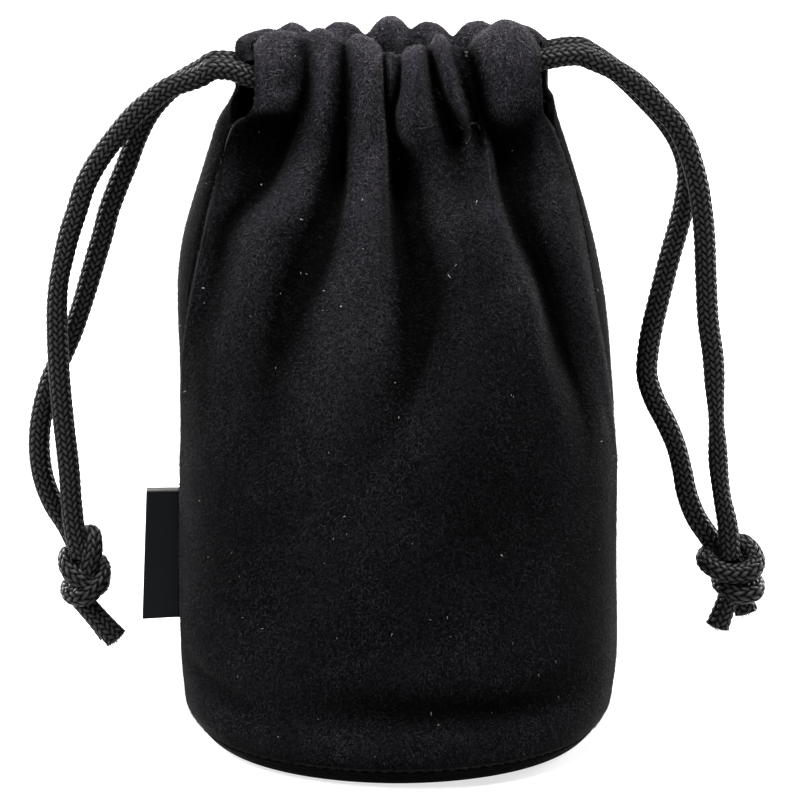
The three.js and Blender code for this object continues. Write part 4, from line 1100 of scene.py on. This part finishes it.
free_cords = {}
for key, route in ROUTES.items():
    name, half = key.split("_")
    side, face = SIDE[name], -1 if half == "front" else 1
    exit_z, split_z = EXIT_Z[name], SPLIT_Z[name]
    stub_x = np.linspace(STUB_START, SPLIT_X, 8)
    stub_z = exit_z + (split_z - exit_z) * eased(stub_x, STUB_RISE_X, SPLIT_X)
    stub = np.stack([side * stub_x, 0 * stub_x + face * CORD_MIDDLE_Y, stub_z], 1)
    level = [(LEVEL_END + CLEARANCE, 0), (2 * LEVEL_END + CLEARANCE, 0)]
    hang = np.array(level + route, float)
    drawn = CORD_MIDDLE_Y + (HANGING_Y - CORD_MIDDLE_Y) * eased(hang[:, 0], 0, DRAW_TOGETHER)
    strand = np.stack([side * (SPLIT_X + hang[:, 0]), face * drawn, split_z - hang[:, 1]], 1)
    last = strand[-1] + (KNOT_CENTRE[name] - strand[-1]) * [INTO_KNOT, 0, INTO_KNOT]
    path = evenly(np.concatenate([stub, strand, [last]]), RING_STEP)
    wide = 1 - sum(share * bell((path[:, 2] - z) / FLATTENED_HALF_LENGTH) for z, share in FLATTENED[key])
    cord = braid_tube(key + "_cord", path, ACROSS + 0 * path, wide=wide)
    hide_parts(key + "_stub", key + "_strand")
    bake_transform(cord)
    free_cords[key] = (cord, path)


# Knots. The two free ends of each cord are tied together in one overhand knot, pulled tight. The knot shows
# as three turns of the braid lying across each other round the cords that go through it, and below it hang
# the two cut ends, with their filaments frayed.
KNOT_TURNS = {
    "left": [
        [(-0.4, 2.6, -2.0), (0.4, 3.0, 2.0), (1.0, 1.6, 5.6), (1.5, -1.2, 6.2), (1.7, -3.0, 3.6),
         (1.0, -3.4, 0.4), (0.2, -2.6, -2.4)],
        [(1.6, 2.6, -2.6), (-1.4, 3.0, 0.6), (-3.0, 1.4, 1.6), (-3.2, -1.2, 0.8), (-2.2, -3.2, -0.8),
         (0.4, -3.8, -2.6), (2.4, -2.2, -3.8), (3.0, 0.6, -3.6), (1.2, 2.8, -2.8)],
        [(-1.2, 3.0, -3.8), (-2.8, 0.8, -5.0), (-1.8, -2.4, -5.8), (0.6, -4.4, -5.0), (2.8, -3.6, -2.8),
         (3.3, -0.6, -0.8), (2.2, 2.6, -0.4), (0.0, 3.4, -1.6)]],
    "right": [
        [(0.4, 2.4, 4.8), (2.6, 1.2, 4.9), (4.2, 0.2, 3.6), (4.9, -1.4, 1.8), (3.6, -3.4, 0.6),
         (0.5, -4.2, 0.3), (-2.9, -3.4, 1.1), (-4.9, -1.0, 2.3), (-4.2, 1.8, 2.9), (-1.0, 3.4, 2.4),
         (2.4, 3.2, 1.2)],
        [(-1.0, 2.4, -1.4), (-1.8, 0.2, -2.2), (-0.6, -2.8, -3.0), (2.2, -4.0, -3.9), (4.4, -2.8, -3.8),
         (4.8, 0.4, -3.0), (3.4, 3.0, -2.4), (0.6, 3.4, -2.2)],
        [(-2.4, 1.0, 1.6), (0.8, 0.6, 2.4), (2.9, 0.4, 1.4), (3.2, 0.2, -1.2), (1.2, 0.4, -2.8)]],
}
TAIL_LEAN = {"left_front": 41.0, "left_back": 39.0, "right_front": -20.0, "right_back": 18.0}
TAIL_START = {"left_front": (-3.0, -1.5, -4.2), "left_back": (-3.4, 1.6, -4.4),
              "right_front": (1.6, -1.6, 0.2), "right_back": (0.2, 1.6, 0.4)}
TAIL_LENGTH = {"left_front": 14.4, "left_back": 13.2, "right_front": 12.4, "right_back": 10.2}
TAIL_FLARE = 1.14
TAIL_FLARE_POWER = 6
# The loose filaments of a cut end, fewer and thicker than real ones so that they show.
FRAY_SEED = {"front": 3, "back": 4}
FRAY_COUNT = 260
FRAY_LENGTH = 1.5
FRAY_LENGTH_SHARES = (0.5, 1.2)
FRAY_WIDTH = 0.1
FRAY_ROOT = 0.5
FRAY_REACH = 0.46
FRAY_SPLAY = 0.55
FRAY_SCATTER = 0.2
FRAY_SHADES = 0.12
WHITENED = 0.7
WHITENED_SHARE = 0.1


def filament_material():
    """Loose polyester filaments at a cut end: black, a few pale where the cut has melted and whitened
    them."""
    made, tree = new_material("cut_polyester_filament")
    shade = node(tree, "Attribute", attribute_name="shade").outputs["Fac"]
    colour = node(tree, "MixRGB", {"Fac": shade, "Color1": linear("#050506"), "Color2": linear("#8c8a88")})
    shader = node(tree, "BsdfPrincipled", {"Base Color": colour, "Roughness": 0.6})
    node(tree, "OutputMaterial", {"Surface": shader})
    return made


def frayed_end(name, end, heading, seed):
    """Filaments that start evenly over the cut face of a cord and splay outwards, more so towards its rim."""
    random = np.random.default_rng(seed)
    turn = random.uniform(0, 2 * np.pi, (FRAY_COUNT, 1))
    share = np.sqrt(random.random((FRAY_COUNT, 1)))
    across = np.cross(heading, ACROSS)
    off = np.cos(turn) * across + np.sin(turn) * ACROSS
    length = FRAY_LENGTH * random.uniform(*FRAY_LENGTH_SHARES, (FRAY_COUNT, 1))
    splay = heading + off * share * FRAY_SPLAY + FRAY_SCATTER * random.normal(size=(FRAY_COUNT, 3))
    foot = end + off * share * CORD * FRAY_REACH - FRAY_ROOT * heading
    side = FRAY_WIDTH / 2 * (across * np.sin(turn) - ACROSS * np.cos(turn))
    shade = FRAY_SHADES * random.random(FRAY_COUNT)
    shade = shade + WHITENED * (random.random(FRAY_COUNT) < WHITENED_SHARE)
    return fibres(name, foot, side, foot + splay * length, off + 0.5 * heading, shade, filament)


filament = filament_material()
for name in SIDE:
    centre = KNOT_CENTRE[name]
    turns = []
    for number, turn in enumerate(KNOT_TURNS[name]):
        path = evenly(np.array(turn) + centre, RING_STEP)
        turns.append(braid_tube(f"{name}_knot_turn_{number + 1}", path, path - centre))
        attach(turns[-1], name + "_loop")
    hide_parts(name + "_knot")
    for half in ("front", "back"):
        key = f"{name}_{half}"
        lean = np.radians(TAIL_LEAN[key])
        heading = np.array([np.sin(lean), 0, -np.cos(lean)])
        along = np.linspace(0, TAIL_LENGTH[key], 6)[:, None]
        path = evenly(centre + np.array(TAIL_START[key]) + heading * along, RING_STEP)
        flare = 1 + (TAIL_FLARE - 1) * np.linspace(0, 1, len(path)) ** TAIL_FLARE_POWER
        tail = braid_tube(key + "_tail_end", path, ACROSS + 0 * path, wide=flare)
        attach(tail, name + "_loop")
        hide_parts(key + "_tail")
        fray = frayed_end(key + "_frayed_end", path[-1], heading, FRAY_SEED[half])
        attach(fray, name + "_loop")
        cord, route = free_cords[key]


# Stage. A pale floor that runs out of view, a soft key lamp in front on the left, one overhead, and two
# strips behind that light the edges of the cloth. The camera is a little above the pouch, as in the
# photograph.
CAMERA_ELEVATION = 14.0
CAMERA_DISTANCE = 2000.0
VIEW_WIDTH = 161.5
VIEW_TARGET = (0.4, 0.0, 70.3)
SENSOR_WIDTH = 36.0
FLOOR_REACH = 4000.0
FLOOR_DROP = 0.05
# Each lamp's place in metres, its power in watts and its width in metres. All are turned to the same point.
LAMPS = {"key_softbox": ((-0.42, -0.34, 0.5), 6.2, 0.16), "left_strip": ((-0.8, 0.85, 0.4), 30.0, 0.5),
         "right_strip": ((0.9, 0.8, 0.4), 34.0, 0.5), "top_softbox": ((0.12, -0.12, 0.75), 16.0, 0.25)}
LAMP_TARGET = Vector((0, 0, 0.07))
WHITE = (1, 1, 1, 1)
BLACK = (0, 0, 0, 1)


def looked_at(tree):
    """1 on a ray that shows the backdrop, straight or through a gloss or a clear piece, and 0 on one that
    lights the pouch: the highest of the three Light Path values."""
    ray = node(tree, "LightPath").outputs
    indirect = node(tree, "Math", {0: ray["Is Glossy Ray"], 1: ray["Is Transmission Ray"]},
                    operation="MAXIMUM")
    return node(tree, "Math", {0: ray["Is Camera Ray"], 1: indirect}, operation="MAXIMUM")


floor_material, tree = new_material("white_paper_floor")
paper = node(tree, "BsdfDiffuse", {"Color": linear("#a8a8a8")})
place = node(tree, "TexCoord").outputs["Object"]
far = node(tree, "VectorMath", {0: place}, operation="LENGTH").outputs["Value"]
strength = node(tree, "MapRange", {"Value": far, "From Min": 0.12, "From Max": 0.6,
                                   "To Min": 0.72, "To Max": 1.0})
glow = node(tree, "Emission", {"Color": WHITE, "Strength": strength})
dark = node(tree, "Emission", {"Color": BLACK, "Strength": 0.0})
seen = node(tree, "MixShader", {0: looked_at(tree), 1: dark, 2: glow})
both = node(tree, "AddShader", {0: paper, 1: seen})
node(tree, "OutputMaterial", {"Surface": both})
reach = np.linspace(-FLOOR_REACH, FLOOR_REACH, 3)
floor_points = np.stack(np.broadcast_arrays(reach[None, :], reach[:, None], np.float64(-FLOOR_DROP)), -1)
floor = surface("floor", floor_points, floor_material)

world = bpy.data.worlds.new("pale_studio")
world.use_nodes = True
world.node_tree.nodes.clear()
tree = world.node_tree
sky = node(tree, "Background", {"Color": WHITE, "Strength": 0.035})
backdrop = node(tree, "Background", {"Color": WHITE, "Strength": 1.0})
both = node(tree, "MixShader", {0: looked_at(tree), 1: sky, 2: backdrop})
node(tree, "OutputWorld", {"Surface": both})
bpy.context.scene.world = world

for name, (place, power, size) in LAMPS.items():
    lamp = bpy.data.lights.new(name, "AREA")
    lamp.energy = power
    lamp.size = size
    lamp_object = bpy.data.objects.new(name, lamp)
    lamp_object.location = place
    lamp_object.rotation_euler = (LAMP_TARGET - Vector(place)).to_track_quat("-Z", "Y").to_euler()
    bpy.context.collection.objects.link(lamp_object)

camera = bpy.data.cameras.new("camera")
camera.sensor_width = SENSOR_WIDTH
camera.lens = SENSOR_WIDTH * CAMERA_DISTANCE / VIEW_WIDTH
camera_object = bpy.data.objects.new("camera", camera)
tilt = np.radians(CAMERA_ELEVATION)
back_off = Vector((0, -np.cos(tilt), np.sin(tilt))) * CAMERA_DISTANCE * MM
camera_object.location = Vector(VIEW_TARGET) * MM + back_off
camera_object.rotation_euler = (-back_off).to_track_quat("-Z", "Y").to_euler()
bpy.context.collection.objects.link(camera_object)
bpy.context.scene.camera = camera_object
bpy.context.scene.view_settings.view_transform = "Standard"
